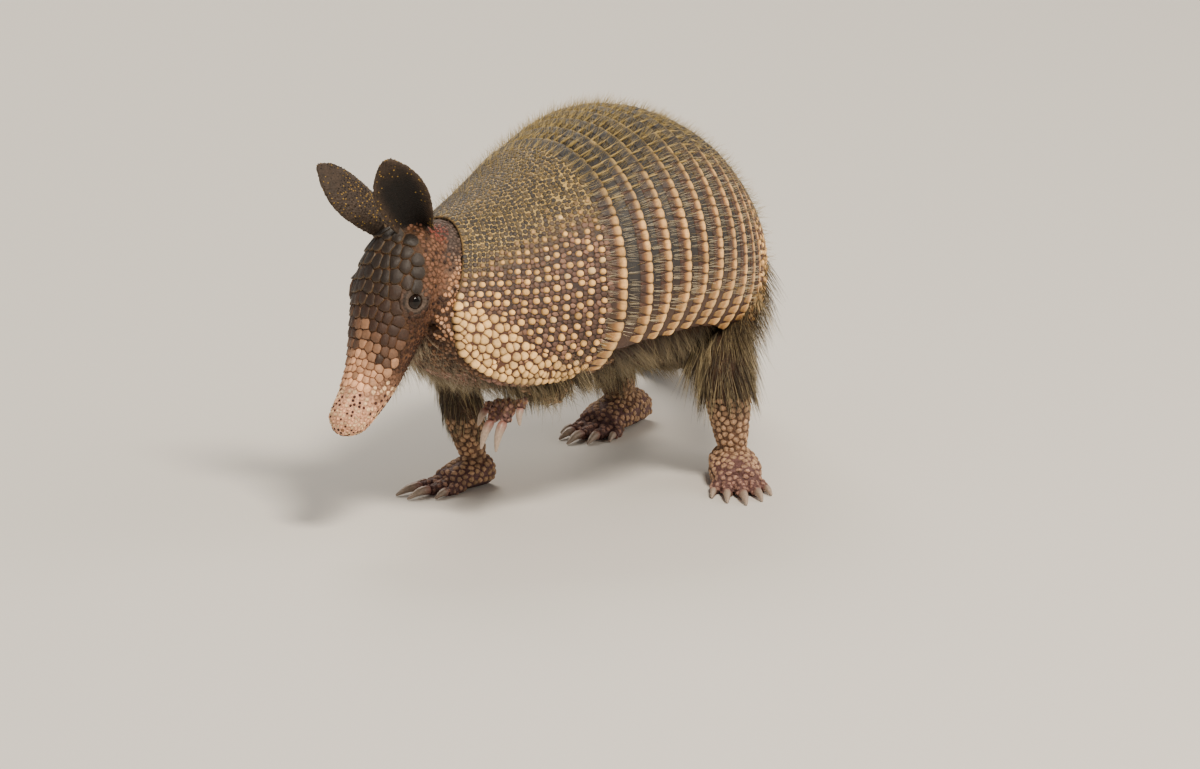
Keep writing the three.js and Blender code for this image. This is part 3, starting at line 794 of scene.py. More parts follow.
def skin_material():
    """Bare hide, wrinkled and pebbled in cells of about a millimetre: matt, with a slight oiliness."""
    material, tree, shader, tint, place = new_material("hide_skin_pebbled")
    patch, pebble, depth = 3.0, 1.1, 0.4
    cells = node(tree, "TexVoronoi", Vector=place, Scale=per_metre(pebble))
    shade = mottled(tree, tint, place, patch, 0.72, 1.2)
    dark = node(tree, "MapRange", Value=cells, _1=0.25, _2=0.75, _3=1.08, _4=0.7)
    colour = node(tree, "VectorMath", {"operation": "SCALE"}, _0=shade, Scale=dark)
    domes = node(tree, "Math", {"operation": "SUBTRACT"}, _0=1.0, _1=cells)
    relief = node(tree, "Bump", Height=domes, Distance=depth * MM)
    wire(tree, shader, Base_Color=colour, Roughness=0.62, IOR=1.4, Normal=relief)
    return material


def hair_material():
    """Hair, grown: stiff bristles with a soft shine along them and paler tips."""
    _, tree, shader, tint, _ = new_material("hair_bristle_grown")
    wire(tree, shader, Base_Color=tint, Roughness=0.5, IOR=1.55)


def claw_material():
    """Claw horn, grown and worn on the ground: streaked along its length, polished at the ridges."""
    material, tree, shader, tint, place = new_material("claw_horn_worn")
    patch, streak, depth = 1.2, 0.7, 0.2
    streaks = node(tree, "TexNoise", Vector=place, Scale=per_metre(streak), Detail=2.0)
    wear = node(tree, "MapRange", Value=streaks, _3=0.25, _4=0.5)
    relief = node(tree, "Bump", Height=streaks, Distance=depth * MM)
    colour = mottled(tree, tint, place, patch, 0.8, 1.15)
    wire(tree, shader, Base_Color=colour, Roughness=wear, IOR=1.54, Normal=relief)
    return material


def eye_material():
    """A wet cornea over a nearly black iris: a clear, sharp shine."""
    material, tree, shader, tint, _ = new_material("cornea_wet")
    wire(tree, shader, Base_Color=tint, Roughness=0.06, IOR=1.3, Coat_Weight=0.15, Coat_Roughness=0.03)
    return material


def floor_material(colour):
    """Matt painted board, sprayed: even and pale, with only a faint texture."""
    material, tree, shader, _, place = new_material("painted_board_matt")
    spatter, depth = 3, 0.05
    grain = node(tree, "TexNoise", Vector=place, Scale=per_metre(spatter))
    relief = node(tree, "Bump", Height=grain, Distance=depth * MM)
    wire(tree, shader, Base_Color=(*colour, 1), Roughness=0.85, Normal=relief)
    return material


# ---- Settings -----------------------------------------------------------------------------------


def colour_setting(name, description, code):
    return FloatVectorProperty(
        name=name, description=description, subtype="COLOR", size=3, min=0, max=1, default=hex_colour(code)
    )


def length_setting(name, description, millimetres):
    return FloatProperty(
        name=name, description=description, subtype="DISTANCE", unit="LENGTH", min=0, default=millimetres * MM
    )


BLOCK_PITCH = 5.0


class ShellSettings(bpy.types.PropertyGroup):
    scute_pitch: length_setting("Scute pitch", "Distance between the small scutes of the shields", 2.45)
    block_pitch: length_setting("Block pitch", "Width of one scute of a band", BLOCK_PITCH)
    tubercle_height: length_setting("Tubercle height", "How far the large scutes stand up", 0.95)
    top_colour: colour_setting("Back", "Scutes on top of the back", "#2f2924")
    straw_colour: colour_setting("Straw", "Growth between the scutes of the back", "#d8b468")
    flank_colour: colour_setting("Flank", "Small scutes of the flank", "#5b4034")
    cream_colour: colour_setting("Cream", "Tubercles and band edges of the flank", "#ffc77a")


class SkinSettings(bpy.types.PropertyGroup):
    voxel: length_setting("Voxel", "Size of the cells that fuse the skin", 0.9)
    face_triangles: IntProperty(name="Triangles", description="Most triangles in the skin", default=190000)
    brown: colour_setting("Hide", "Skin of the cheeks and legs", "#523722")
    pink: colour_setting("Snout", "Skin of the snout", "#efb491")
    ear: colour_setting("Ear", "Skin of the ears", "#0e0907")


class CoatSettings(bpy.types.PropertyGroup):
    shell_hair: length_setting("Shell hair", "Length of the hairs between scutes", 4.4)
    belly_hair: length_setting("Belly hair", "Length of the belly's fringe", 17)
    leg_hair: length_setting("Leg hair", "Length of the legs' hair", 22)
    hair_radius: length_setting("Hair radius", "Radius of a hair of the belly or legs at its root", 0.16)


class StageSettings(bpy.types.PropertyGroup):
    floor_size: length_setting("Floor", "Width of the floor", 8000)
    floor_colour: colour_setting("Floor colour", "Paint of the floor", "#e2dfd9")
    key_power: FloatProperty(name="Key light", description="Its power", unit="POWER", default=90)
    focal_length: FloatProperty(
        name="Lens", description="Focal length", subtype="DISTANCE_CAMERA", default=300
    )


# ---- Shell --------------------------------------------------------------------------------------

SHELL_DROP = 0.6  # the plates lie this far below the solids' faces, and their scutes rise to them
PLATE_THICK = SHELL_THICK - 1.2
FRINGE = 7.5  # width of the rows of larger scutes along a shield's edge
EDGE_ROWS = (1.7, 5.0)  # how far those rows lie from the edge
EDGE_PITCH = 3.9
EDGE_STEPS = 400  # points that measure the edge
ROW_SHARE = 0.87  # the rows of a honeycomb are this share of its pitch apart
PALE_SHARE = 0.028  # of the large scutes, those that are pale spots


PLATE_COLUMNS = 150  # faces of a plate from one lower edge to the other
PLATE_INSET = 0.4  # degrees that a plate ends short of the shell's edge


def plate_sheet(stock, start, end, tint, steps, edge_drop=0.0):
    """A plate of the shell as a closed sheet: a grid is laid round the body and given its thickness.

    edge_drop is how far its front edge dips under the plate before it, as a share of the bands' tuck."""
    bpy.ops.object.select_all(action="DESELECT")
    bpy.ops.mesh.primitive_grid_add(x_subdivisions=steps, y_subdivisions=PLATE_COLUMNS, size=2)
    sheet = bpy.context.object
    flat = coordinates(sheet.data)
    f = (flat[:, 0] + 1) / 2
    u = start + (end - start) * f
    phi = flat[:, 1] * (shell_reach(u) - PLATE_INSET)
    dip = BAND_TUCK * (1 - smooth(0, 0.35, f)) * edge_drop + 0.5 * smooth(0.9, 1, f)
    put_points(sheet.data, body_point(u, phi, -SHELL_DROP - dip))
    middle = Vector(body_point((start + end) / 2, 0.0) * MM)
    nearest = min(sheet.data.polygons, key=lambda face: (face.center - middle).length)
    inward = -1 if nearest.normal.z > 0 else 1
    apply_modifier(sheet, "SOLIDIFY", thickness=PLATE_THICK * MM, offset=inward, use_rim=True)
    topmost = max(sheet.data.polygons, key=lambda face: face.center.z)
    if topmost.normal.z < 0:
        edit_whole()
        face_outwards()
        bpy.ops.object.mode_set(mode="OBJECT")
    both_sides = tint(np.tile(u, 2), np.tile(phi, 2))
    stock.add(coordinates(sheet.data) / MM, triangles_of(sheet.data), both_sides)
    bpy.data.objects.remove(sheet)


def row_across(track, steps, pitch, shift, margin=0.0):
    """Places at every pitch along a row and its mirror image: degrees round, and the number of each.

    track holds the row's points from the midline down, and steps their degrees round. shift is a share of
    the pitch, and margin is what is left out at the row's ends."""
    run = run_of(track)
    count = int(run[-1] / pitch) + 1
    numbers = np.arange(-count, count + 1)
    away = (numbers + shift) * pitch
    inside = np.abs(away) < run[-1] - margin
    return degrees_round(away, run, steps)[inside], numbers[inside]


def arc_grid(start, end, row_step, pitch, margin, rng, jitter=0.16):
    """Seeds in staggered rows across the back: u, phi, row number and column number of each."""
    rows = []
    count = max(1, int((end - start) / row_step + 0.01))
    for row in range(count):
        u = start + (row + 0.5) * (end - start) / count
        steps = np.linspace(0, float(shell_reach(u)), SHELL_STEPS)
        phi, numbers = row_across(body_point(u, steps), steps, pitch, 0.5 * (row % 2), margin)
        rows.append(np.stack([np.full(len(phi), u), phi, np.full(len(phi), row), numbers], 1))
    seeds = np.vstack(rows)
    seeds[:, 0] += rng.normal(0, jitter * row_step, len(seeds))
    seeds[:, 1] += rng.normal(0, jitter * pitch, len(seeds))
    return seeds


def flank_share(u, phi):
    """How far down the flank a place is: 0 on the dark back, 1 where the tubercles are cream."""
    start = np.interp(u, [0, 20, 50, 75, 180, 230, 283], [50, 41, 34, 38, 46, 52, 50])
    return smooth(start - 4, start + 34, np.abs(phi))


def cream_share(u, phi):
    """How far the large scutes have spread to meet, at the shield's lower front."""
    start = np.interp(u, [0, 12, 30, 48, 60, 283], [78, 80, 86, 104, 118, 118])
    return smooth(start - 10, start + 8, np.abs(phi))


class ShellPaint:
    """The shell's colours, worked out from where a place is on it."""

    def __init__(self, settings):
        self.top = np.array(settings.top_colour)
        self.straw = np.array(settings.straw_colour)
        self.flank = np.array(settings.flank_colour)
        self.cream = np.array(settings.cream_colour)
        self.ivory = paint("#ffe0a6")
        self.gold = paint("#ab9052")

    def bed(self, u, phi):
        """The plate under the scutes: straw on the back, dark brown on the flank."""
        high = blend(self.straw * 0.8, "#33211a", smooth(0, 0.7, flank_share(u, phi)))
        high = blend("#6a5334", high, smooth(0.4, 2.2, u))
        return blend(high, "#583624", cream_share(u, phi))

    def band_bed(self, _, phi):
        """The bare front of a band, dark and greyish, browner towards its lower end."""
        low = smooth(75, 112, np.abs(phi))
        return blend("#242120", "#4c3529", low)


def shield(stock, start, end, paints, settings, rng, shapes):
    """The scutes of a shield: small ones all over, and larger ones among them that rise down the flank."""
    pitch = settings.scute_pitch / MM
    seeds = arc_grid(start, end, pitch * ROW_SHARE, pitch, FRINGE * 0.62, rng)
    u, phi, row, column = seeds.T
    sparse = (row % 2 == 0) & ((column + row // 2) % 2 == 0)
    dense = np.zeros(len(u), bool)
    spacing = pitch * (np.where(rng.random(len(u)) < 0.3, 1.46, 1.16) + 0.54 * (u > SHOULDER_END))
    dense[spread(body_point(u, phi), spacing, np.arange(len(u)))] = True
    edge_u, edge_phi = edge_rows(start, end)
    large = np.where((cream_share(u, phi) > 0.35) | (u > SHOULDER_END), dense, sparse)
    large = np.concatenate([large, np.ones(len(edge_u), bool)])
    fringe = np.concatenate([np.zeros(len(u)), np.ones(len(edge_u))])
    u, phi = np.concatenate([u, edge_u]), np.concatenate([phi, edge_phi])
    ground = Ground(body_point_lowered, u, phi)
    flank, cream = flank_share(u, phi), cream_share(u, phi)
    grown = np.maximum(cream, fringe * 0.9)
    wobble = rng.normal(0, 1, len(u))
    weight = np.where(large, pitch**2 * (0.06 + 0.3 * flank + 0.7 * grown) * (1 + 0.2 * wobble), 0)
    size = np.where(large, pitch * (0.58 + 0.22 * flank + 0.36 * grown), pitch * 0.84)
    minor = ~large & (rng.random(len(u)) < 0.3) & (flank > 0.3)
    relief = settings.tubercle_height / MM * flank * (1 - 0.25 * grown)
    height = np.where(large, 0.4 + relief, 0.42 + 0.08 * wobble.clip(-1, 1) + 0.25 * minor)
    light = 1 + 0.2 * rng.normal(0, 1, len(u))
    back = blend(paints.top, paints.straw, 0.05 + 0.05 * wobble.clip(-1, 1))
    bright = smooth(0.02, 0.7, flank + 0.1 * wobble)
    tubercle = blend(blend(back, paints.flank, flank), paints.cream, bright)
    tubercle = blend(tubercle, paints.ivory, 0.3 * grown)
    pale = (rng.random(len(u)) < PALE_SHARE) & large & (flank > 0.12)
    tubercle[pale] = paint("#ffd494")
    size = np.where(pale, size * 1.15, size)
    small = blend(back, paints.flank, flank)
    small = blend(small, "#96705a", 0.7 * minor * bright)
    small = blend(small, "#c99468", 0.8 * cream)
    top = np.where(large[:, None], tubercle, small) * np.where(pale, 1, light)[:, None].clip(0.55, 1.3)
    # Painted shade: the feet of the scutes are darker than their crowns. On top they are half the back's
    # colour, on the flank dark brown, and round the large scutes of the flank and the cream zone half the
    # crown's colour, so that the scutes look raised.
    edge = blend(back * 0.5, "#3a251b", smooth(0, 0.7, flank))
    low = np.where(large[:, None], blend(edge, top * 0.5, np.maximum(flank, grown)), edge)
    kinds = ((large, shapes["large"], 0.6, 0.2), (~large, shapes["small"], 0.0, 0.1))
    for (kind, shape, roundness, seam), merged in itertools.product(kinds, (False, True)):
        chosen = np.flatnonzero(kind & ((grown > 0.5) == merged))
        if len(chosen):
            circle = roundness * (0.25 if merged else smooth(0, 0.5, flank[chosen])[:, None])
            lay_scutes(stock, ground, shape, size, height, low, top, seam, chosen, weight, circle)


def body_point_lowered(u, phi, rise):
    """The shell's plate, on which the scutes stand."""
    return body_point(u, phi, rise - SHELL_DROP)


def edge_rows(start, end):
    """Two rows of places along both lower edges of a shield."""
    us, phis = [], []
    line = np.linspace(start + 2, end - 3, EDGE_STEPS)
    edge = shell_reach(line)
    per_degree = np.linalg.norm(body_point(line, edge) - body_point(line, edge - 1), axis=1)
    for row, offset in enumerate(EDGE_ROWS):
        phi = edge - offset / per_degree
        run = run_of(body_point(line, phi))
        places = np.interp(np.arange(0.5 * row + 0.5, run[-1] / EDGE_PITCH) * EDGE_PITCH, run, line)
        for side in (-1, 1):
            us.append(places)
            phis.append(side * np.interp(places, line, phi))
    return np.concatenate(us), np.concatenate(phis)


RIM_LENGTH = 6.4
PLATE_GAP = 0.3  # between a plate's rear edge and the plate after it


def rim_blocks(stock, end, paints, settings, rng, shape):
    """A row of long scutes along a plate's rear edge, pale at the rim, with dark wedges between them."""
    pitch = settings.block_pitch / MM
    u, phi, _, _ = arc_grid(end - RIM_LENGTH, end, RIM_LENGTH, pitch, 0.8, rng, 0).T
    share = smooth(24, 66, np.abs(phi))
    low_end = smooth(84, 116, np.abs(phi))
    light = varied(rng, len(u), 0.14, 0.65, 1.3)
    rim = blend(blend(paints.gold, paints.cream, share), paints.ivory, 0.4 * low_end) * light
    front = blend(blend("#272525", "#3d2920", share), paints.cream * 0.4, low_end) * light
    pale = (0.68 - 0.4 * share - 0.2 * low_end) * (1 + 0.14 * rng.normal(0, 1, len(u)))
    broad = (pitch * (0.42 - 0.16 * share[:, None]), pitch * 0.485)
    lay_blocks(stock, shape, u, phi, RIM_LENGTH, broad, 1.15, front, rim, pale)
    between = phi + 0.5 * pitch / np.linalg.norm(body_point(u, phi + 0.5) - body_point(u, phi - 0.5), axis=1)
    dark = blend(paints.gold, "#4a2d20", smooth(0, 0.5, share)) * light
    wedge = (pitch * (0.06 + 0.14 * share[:, None]), pitch * 0.03)
    lay_blocks(stock, shape, u - 0.3, between, RIM_LENGTH - 0.8, wedge, 0.75, dark, dark, pale)
    top = np.abs(phi) < 50
    dark = paints.gold * light[top]
    seam = (pitch * 0.04, pitch * 0.06)
    ahead = u[top] - RIM_LENGTH * 0.9
    lay_blocks(stock, shape, ahead, between[top], RIM_LENGTH, seam, 0.5, dark, dark, pale[top])


class ARMADILLO_OT_shields(bpy.types.Operator):
    """Cover the shoulders and the hips with their shields of scutes"""

    bl_idname = "armadillo.shields"
    bl_label = "Shields"

    def execute(self, context):
        settings = context.scene.armadillo_shell
        paints = ShellPaint(settings)
        rng = np.random.default_rng(SEED)
        shapes = {"small": scute_shape(6, TIGHT, math.pi / 6), "large": scute_shape(10, DOMED)}
        block = block_shape()
        material = shell_material()
        hips = band_end(BAND_COUNT)
        # Each shield with the stretch that its plate covers, and the stretch that its small scutes cover.
        for name, start, end, first, last in (
            ("shoulder_shield", 0, SHOULDER_END - PLATE_GAP, 0.8, SHOULDER_END - RIM_LENGTH),
            ("hip_shield", hips, SHELL_LENGTH, hips + 2.4, SHELL_LENGTH - 0.8),
        ):
            front = start == 0
            stock = Stock()
            plate_sheet(stock, start, end, paints.bed, 40, 0 if front else 1)
            shield(stock, first, last, paints, settings, rng, shapes)
            if front:
                rim_blocks(stock, end, paints, settings, rng, block)
            stock.piece(f"{name}_scutes", material, "shell_horn", name)
        return {"FINISHED"}


class ARMADILLO_OT_bands(bpy.types.Operator):
    """Make the nine bands, each with a pale rim of long scutes over its dark front"""

    bl_idname = "armadillo.bands"
    bl_label = "Bands"

    def execute(self, context):
        settings = context.scene.armadillo_shell
        paints = ShellPaint(settings)
        rng = np.random.default_rng(SEED + 1)
        block = block_shape()
        material = bpy.data.materials["keratin_scute_grown"]
        for band in range(1, BAND_COUNT + 1):
            start = SHOULDER_END if band == 1 else band_end(band - 1)
            end = band_end(band) - PLATE_GAP
            stock = Stock()
            plate_sheet(stock, start, end, paints.band_bed, 10, 1)
            rim_blocks(stock, end, paints, settings, rng, block)
            stock.piece(f"band_{band}_scutes", material, "shell_horn", f"band_{band}")
        return {"FINISHED"}


# ---- Skin ---------------------------------------------------------------------------------------


class Skin:
    """The finished skin as a surface that scutes and hair can be dropped on to."""

    def __init__(self, mesh):
        self.points = coordinates(mesh) / MM
        self.normals = normals_of(mesh)
        self.tree = BVHTree.FromPolygons(self.points.tolist(), triangles_of(mesh).tolist())

    def nearest(self, points):
        """The skin's nearest places."""
        return np.array([self.tree.find_nearest(point)[0] for point in points.tolist()])


SKIN = {}  # the finished skin's surface, for the steps after it
# The rings of lid round an eye: radius, thickness, how far forward they lie, and colour.
LIDS = ((4.7, 0.85, 2.7, "#5c4d43"), (6.0, 0.7, 2.2, "#291f1a"), (7.4, 0.7, 2.1, "#5a4437"))
NAPE_DOME = 8.5  # how far the trunk's front end bulges
NAPE_LEAN = math.radians(30)
NAPE_AHEAD = np.array([-math.cos(NAPE_LEAN), 0, math.sin(NAPE_LEAN)])


def skin_bodies(settings):
    """The bodies that are fused into the skin, with their colours."""
    brown, pink, ear = (np.array(c) for c in (settings.brown, settings.pink, settings.ear))
    stock = Stock()

    def trunk_place(u, phi):
        turned = (phi + 180) % 360 - 180
        open_share = smooth(2, 26, np.abs(turned) - shell_reach(u))
        dome = np.clip(-u / NAPE_DOME, 0, 1)
        round_off = 13 * (1 - np.sqrt(1 - dome**2)) - 1.2 * (1 - smooth(4, 16, u))
        under = body_point(np.maximum(u, 0), phi, -SHELL_THICK - 0.8 - round_off)
        sunk = -8.0 * smooth(6, 40, u) - 2.5 * (1 - smooth(0, 14, u)) - round_off
        belly = body_point(np.maximum(u, 0), phi, sunk, "belly")
        upper = 1 - smooth(70, 115, np.abs(turned))
        return blend(under, belly, open_share) + NAPE_AHEAD * (NAPE_DOME * dome * upper)[..., None]

    stations = np.concatenate([np.linspace(-NAPE_DOME, 0, 8), np.linspace(4, SHELL_LENGTH - 2, 65)])
    trunk = ring_body(trunk_place, stations, 72)
    stock.add(*trunk, blend(brown * 0.8, "#463831", smooth(112, 128, trunk[0][:, 2])))
    head = head_body()
    stock.add(*head, head_tints(head[0], brown, pink))
    neck = ring_body(lambda t, phi: NECK.point(t, phi, neck_rise(t, phi)), np.linspace(0, 1, 44), 72)
    throat = blend("#33261e", "#8f684c", smooth(84, 98, neck[0][:, 2]))
    stock.add(*neck, blend(throat, "#4b3c34", smooth(120, 132, neck[0][:, 2])))
    rings, sides = 36, 32
    under_hair = keyed((0, -4), (0.45, -3), (0.8, -1.6), (1, -0.2))
    for leg in LEGS.values():
        down = np.linspace(0, 1, rings)
        body = ring_body(lambda t, phi: leg.point(t, phi, under_hair(t)), down, sides)
        line = leg.line(down)[np.minimum(np.arange(len(body[0])) // sides, rings - 1)]
        stock.add(*body, blend("#70523f", brown * 0.6, smooth(22, 44, line[:, 2])))
    stock.add(*ring_body(tail_skin, np.linspace(0, 1, 90), 24), paint("#4a3a34"))
    for side in EARS:
        stock.add(*ear_body(side, ear))
        for radius, stout, forward, colour in LIDS:
            stock.add(*eye_lid(side, radius, stout, forward), paint(colour))
    for foot in FEET:
        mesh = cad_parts[f"{foot}_foot"].data
        stock.add(coordinates(mesh) / MM, triangles_of(mesh), paint("#6b4c48"))
    return stock


def neck_rise(t, phi):
    """Soft folds across the sides of the neck, and the nape's swelling against the shell."""
    turn = (phi + 180) % 360 - 180
    folds = np.sin(t * 2 * math.pi * 9 + 0.7 * np.sin(np.radians(phi) * 3))
    nape = 3.0 * np.exp(-((turn / 70) ** 2)) * smooth(0.2, 0.55, t)
    return 0.6 * folds * np.abs(np.sin(np.radians(phi))) - 1.0 + nape


def head_body():
    """The head, rounded off at the nose."""

    def place(t, phi):
        turn = np.radians(phi)
        jaw = 0.05 * np.clip(-np.cos(turn), 0, 1)
        close = np.sqrt(np.clip(1 - (np.clip(t - 0.945 + jaw, 0, None) / (0.056 + jaw)) ** 2, 0.02, 1))
        _, side, up = HEAD.axes(t)
        reach = np.where(np.cos(turn) > 0, HEAD.above(t), HEAD.below(t)) - 0.9
        return (
            HEAD.line(t)
            + side * ((HEAD.half(t) - 0.7) * close * np.sin(turn))[..., None]
            + up * (reach * close * np.cos(turn))[..., None]
        )

    ts = np.concatenate([np.linspace(0, 0.93, 60), np.linspace(0.94, 1, 12)])
    return ring_body(place, ts, 60)


def head_places(points):
    """The nearest t and phi of the head for each point."""
    t = np.linspace(0, 1, 160)
    line = HEAD.line(t)
    nearest = np.argmin(((points[:, None] - line[None]) ** 2).sum(2), axis=1)
    _, side, up = HEAD.axes(t)
    away = points - line[nearest]
    phi = np.degrees(np.arctan2(np.sum(away * side[nearest], 1), np.sum(away * up[nearest], 1)))
    return t[nearest], phi


def head_tints(points, brown, pink):
    """Brown over the cheeks, paler under them, and pink down the snout."""
    t, phi = head_places(points)
    snout = smooth(0.58, 0.86, t + 0.06 * np.cos(np.radians(phi * 2)))
    cheek = blend(brown, "#8a6047", smooth(85, 125, np.abs(phi)))
    return blend(cheek, pink, snout)


def ear_body(side, dark):
    """An ear: a rolled leaf, thin at its edge. It is brown behind and along the rim, and dark within."""
    rows, columns = 34, 26
    u, v = np.meshgrid(np.linspace(-0.06, 1, rows), np.linspace(-1, 1, columns), indexing="ij")
    edge = 1 - smooth(0.55, 1, np.abs(v)) * 0.35
    thick = 1.9 * edge
    outer = ear_point(side, u.ravel(), v.ravel(), 0.0 * u.ravel())
    inner = ear_point(side, u.ravel(), v.ravel(), thick.ravel())
    count = rows * columns
    sheet = grid_faces(rows, columns)
    border = np.concatenate(
        [
            np.arange(columns),
            np.arange(1, rows) * columns + columns - 1,
            (rows - 1) * columns + np.arange(columns - 2, -1, -1),
            np.arange(rows - 2, 0, -1) * columns,
        ]
    )
    after = np.roll(border, -1)
    outer_half = np.stack([border, after, after + count], 1)
    inner_half = np.stack([border, after + count, border + count], 1)
    wall = np.concatenate([outer_half, inner_half])
    rim = smooth(0.5, 1, np.maximum(np.abs(v), 1.15 * u - 0.2)).ravel()
    tints = np.vstack([np.tile(paint("#3f3227"), (count, 1)), blend(dark, "#46372b", rim)])
    faces = np.vstack([sheet, sheet[:, ::-1] + count, wall[:, ::-1]])
    return np.vstack([outer, inner]), faces, tints


def eye_frame(side):
    """An eye's centre and the direction it looks in."""
    sign = -1 if side == "left" else 1
    t, phi = np.array([EYE_PLACE["t"]]), np.array([sign * EYE_PLACE["phi"]])
    centre = HEAD.point(t, phi, -EYE_PLACE["depth"])[0]
    ahead = unit(HEAD.point(t, phi, 1.0)[0] - centre)
    return centre, ahead


def eye_lid(side, ring_radius, stout, forward):
    """A ring of lid round an eye, fuller above than below."""
    centre, ahead = eye_frame(side)
    across = unit(np.cross(ahead, (0, 0, 1)))
    up = np.cross(across, ahead)

    def place(t, phi):
        turn, tube = 2 * math.pi * t, np.radians(phi)
        thick = stout * (1 + 0.3 * np.sin(turn))
        ring = ring_radius + thick * np.cos(tube)
        return (
            centre
            + np.multiply.outer(np.cos(turn) * ring, across)
            + np.multiply.outer(np.sin(turn) * ring * 0.94, up)
            + np.multiply.outer(forward + thick * np.sin(tube), ahead)
        )

    sides, steps = 12, 40
    phi = np.arange(sides) * 360 / sides
    rings = np.array([place(np.full(sides, i / steps), phi) for i in range(steps)])
    faces = grid_faces(steps + 1, sides, True) % (steps * sides)
    return rings.reshape(-1, 3), faces


class ARMADILLO_OT_skin(bpy.types.Operator):
    """Fuse the head, neck, trunk, legs, ears and tail into one skin, with its folds, lids and nostrils"""

    bl_idname = "armadillo.skin"
    bl_label = "Skin"

    def execute(self, context):
        settings = context.scene.armadillo_skin
        stock = skin_bodies(settings)
        flesh = ["trunk", "head", "neck", "ear_left", "ear_right", "tail_base", "tail_middle", "tail_tip"]
        flesh += [f"{leg}_{part}" for leg in LEGS for part in ("upper_leg", "lower_leg", "foot")]
        material = skin_material()
        skin = stock.piece("skin", material, "skin", *flesh)
        select_only(skin)
        merge_doubles(0.02)
        apply_modifier(skin, "REMESH", mode="VOXEL", voxel_size=settings.voxel)
        apply_modifier(skin, "SMOOTH", iterations=5, factor=0.5)
        sculpt_face(skin.data)
        share = min(1, settings.face_triangles / len(triangles_of(skin.data)))
        apply_modifier(skin, "DECIMATE", ratio=share)
        known, tints = np.vstack(stock.points), np.vstack(stock.tints)
        give_tint(skin.data, nearest_tints(coordinates(skin.data) / MM, known, tints))
        finished(skin, material, "skin")
        SKIN["surface"] = Skin(skin.data)
        return {"FINISHED"}


def nearest_tints(points, known, tints):
    """Each point's colour, from the four known points nearest to it."""
    tree = tree_of(known)
    hits = [tree.find_n(point, 4) for point in points.tolist()]
    numbers = np.array([[hit[1] for hit in row] for row in hits])
    share = 1 / (np.array([[hit[2] for hit in row] for row in hits]) + 0.3)
    share /= share.sum(1, keepdims=True)
    return (tints[numbers] * share[..., None]).sum(1)


SNOUT_REACH = 45  # from the middle of the snout to the last points that are moved
NOSTRIL_DENT = (2.0, 1.5)  # depth and width
MOUTH_DENT = (1.0, 1.1)


def sculpt_face(mesh):
    """Presses in the nostrils and the line of the mouth."""
    points, normals = coordinates(mesh) / MM, normals_of(mesh)
    close = np.flatnonzero(np.linalg.norm(points - HEAD.line(np.array(0.8)), axis=1) < SNOUT_REACH)
    lips = np.linspace(0.64, 0.965, 60)
    nostrils = [HEAD.point(np.array([0.985]), np.array([sign * 62]), -0.8) for sign in (-1, 1)]
    mouth = [HEAD.point(lips, sign * (126 - 10 * (1 - lips))) for sign in (-1, 1)]
    dents = [(row, *NOSTRIL_DENT) for row in nostrils] + [(row, *MOUTH_DENT) for row in mouth]
    for places, depth, width in dents:
        away = np.linalg.norm(points[close][:, None] - places[None], axis=2).min(1)
        points[close] -= normals[close] * (depth * np.exp(-((away / width) ** 2)))[:, None]
    put_points(mesh, points)
    mesh.update()


# ---- Scutes and scales on the skin --------------------------------------------------------------


SPREAD_CELL = 3  # side of the cells that picked points are kept in, to find close ones quickly


def spread(points, spacing, order):
    """Numbers of points that are picked, in an order, so that no two are closer than the spacing."""
    cells, kept = {}, []
    for number in order.tolist():
        point, gap = points[number], spacing[number]
        x, y, z = (int(place) for place in point // SPREAD_CELL)
        reach = int(gap // SPREAD_CELL) + 1
        near = (
            other - point
            for dx, dy, dz in itertools.product(range(-reach, reach + 1), repeat=3)
            for other in cells.get((x + dx, y + dy, z + dz), ())
        )
        if not any(abs(away[0]) < gap and np.dot(away, away) < gap * gap for away in near):
            cells.setdefault((x, y, z), []).append(point)
            kept.append(number)
    return np.array(kept, int)


HEAD_SHIELD_REACH = keyed((0.06, 38), (0.2, 74), (0.33, 64), (0.45, 74), (0.58, 86), (0.68, 78), (0.8, 52))


EYE_CLEAR = 7.6  # from an eye to the nearest scutes of the head shield
LID_CLEAR = 6.6  # from an eye to the nearest fine scales
FOOT_PITCH = 2.6
FOOT_SCUTE = 2.1  # the most that a scute of a foot reaches


def head_pitch(t):
    """Width of the head shield's scutes."""
    return np.interp(t, [0.07, 0.3, 0.55, 0.86], [5.7, 5.3, 4.3, 2.7])


def head_seeds(rng):
    """Places of the head shield's scutes, in staggered rows that tighten towards the snout."""
    ts, phis = [], []
    t, row = 0.095, 0
    while t < 0.8:
        pitch = float(head_pitch(t))
        steps = np.linspace(0, float(HEAD_SHIELD_REACH(t)), HEAD_STEPS)
        phi, _ = row_across(HEAD.point(t, steps), steps, pitch, 0.5 * (row % 2))
        ts.append(t + rng.normal(0, 0.15, len(phi)) * pitch / HEAD_LENGTH)
        phis.append(phi + rng.normal(0, 2.6, len(phi)))
        t += 1.1 * pitch / HEAD_LENGTH
        row += 1
    return np.concatenate(ts), np.concatenate(phis)


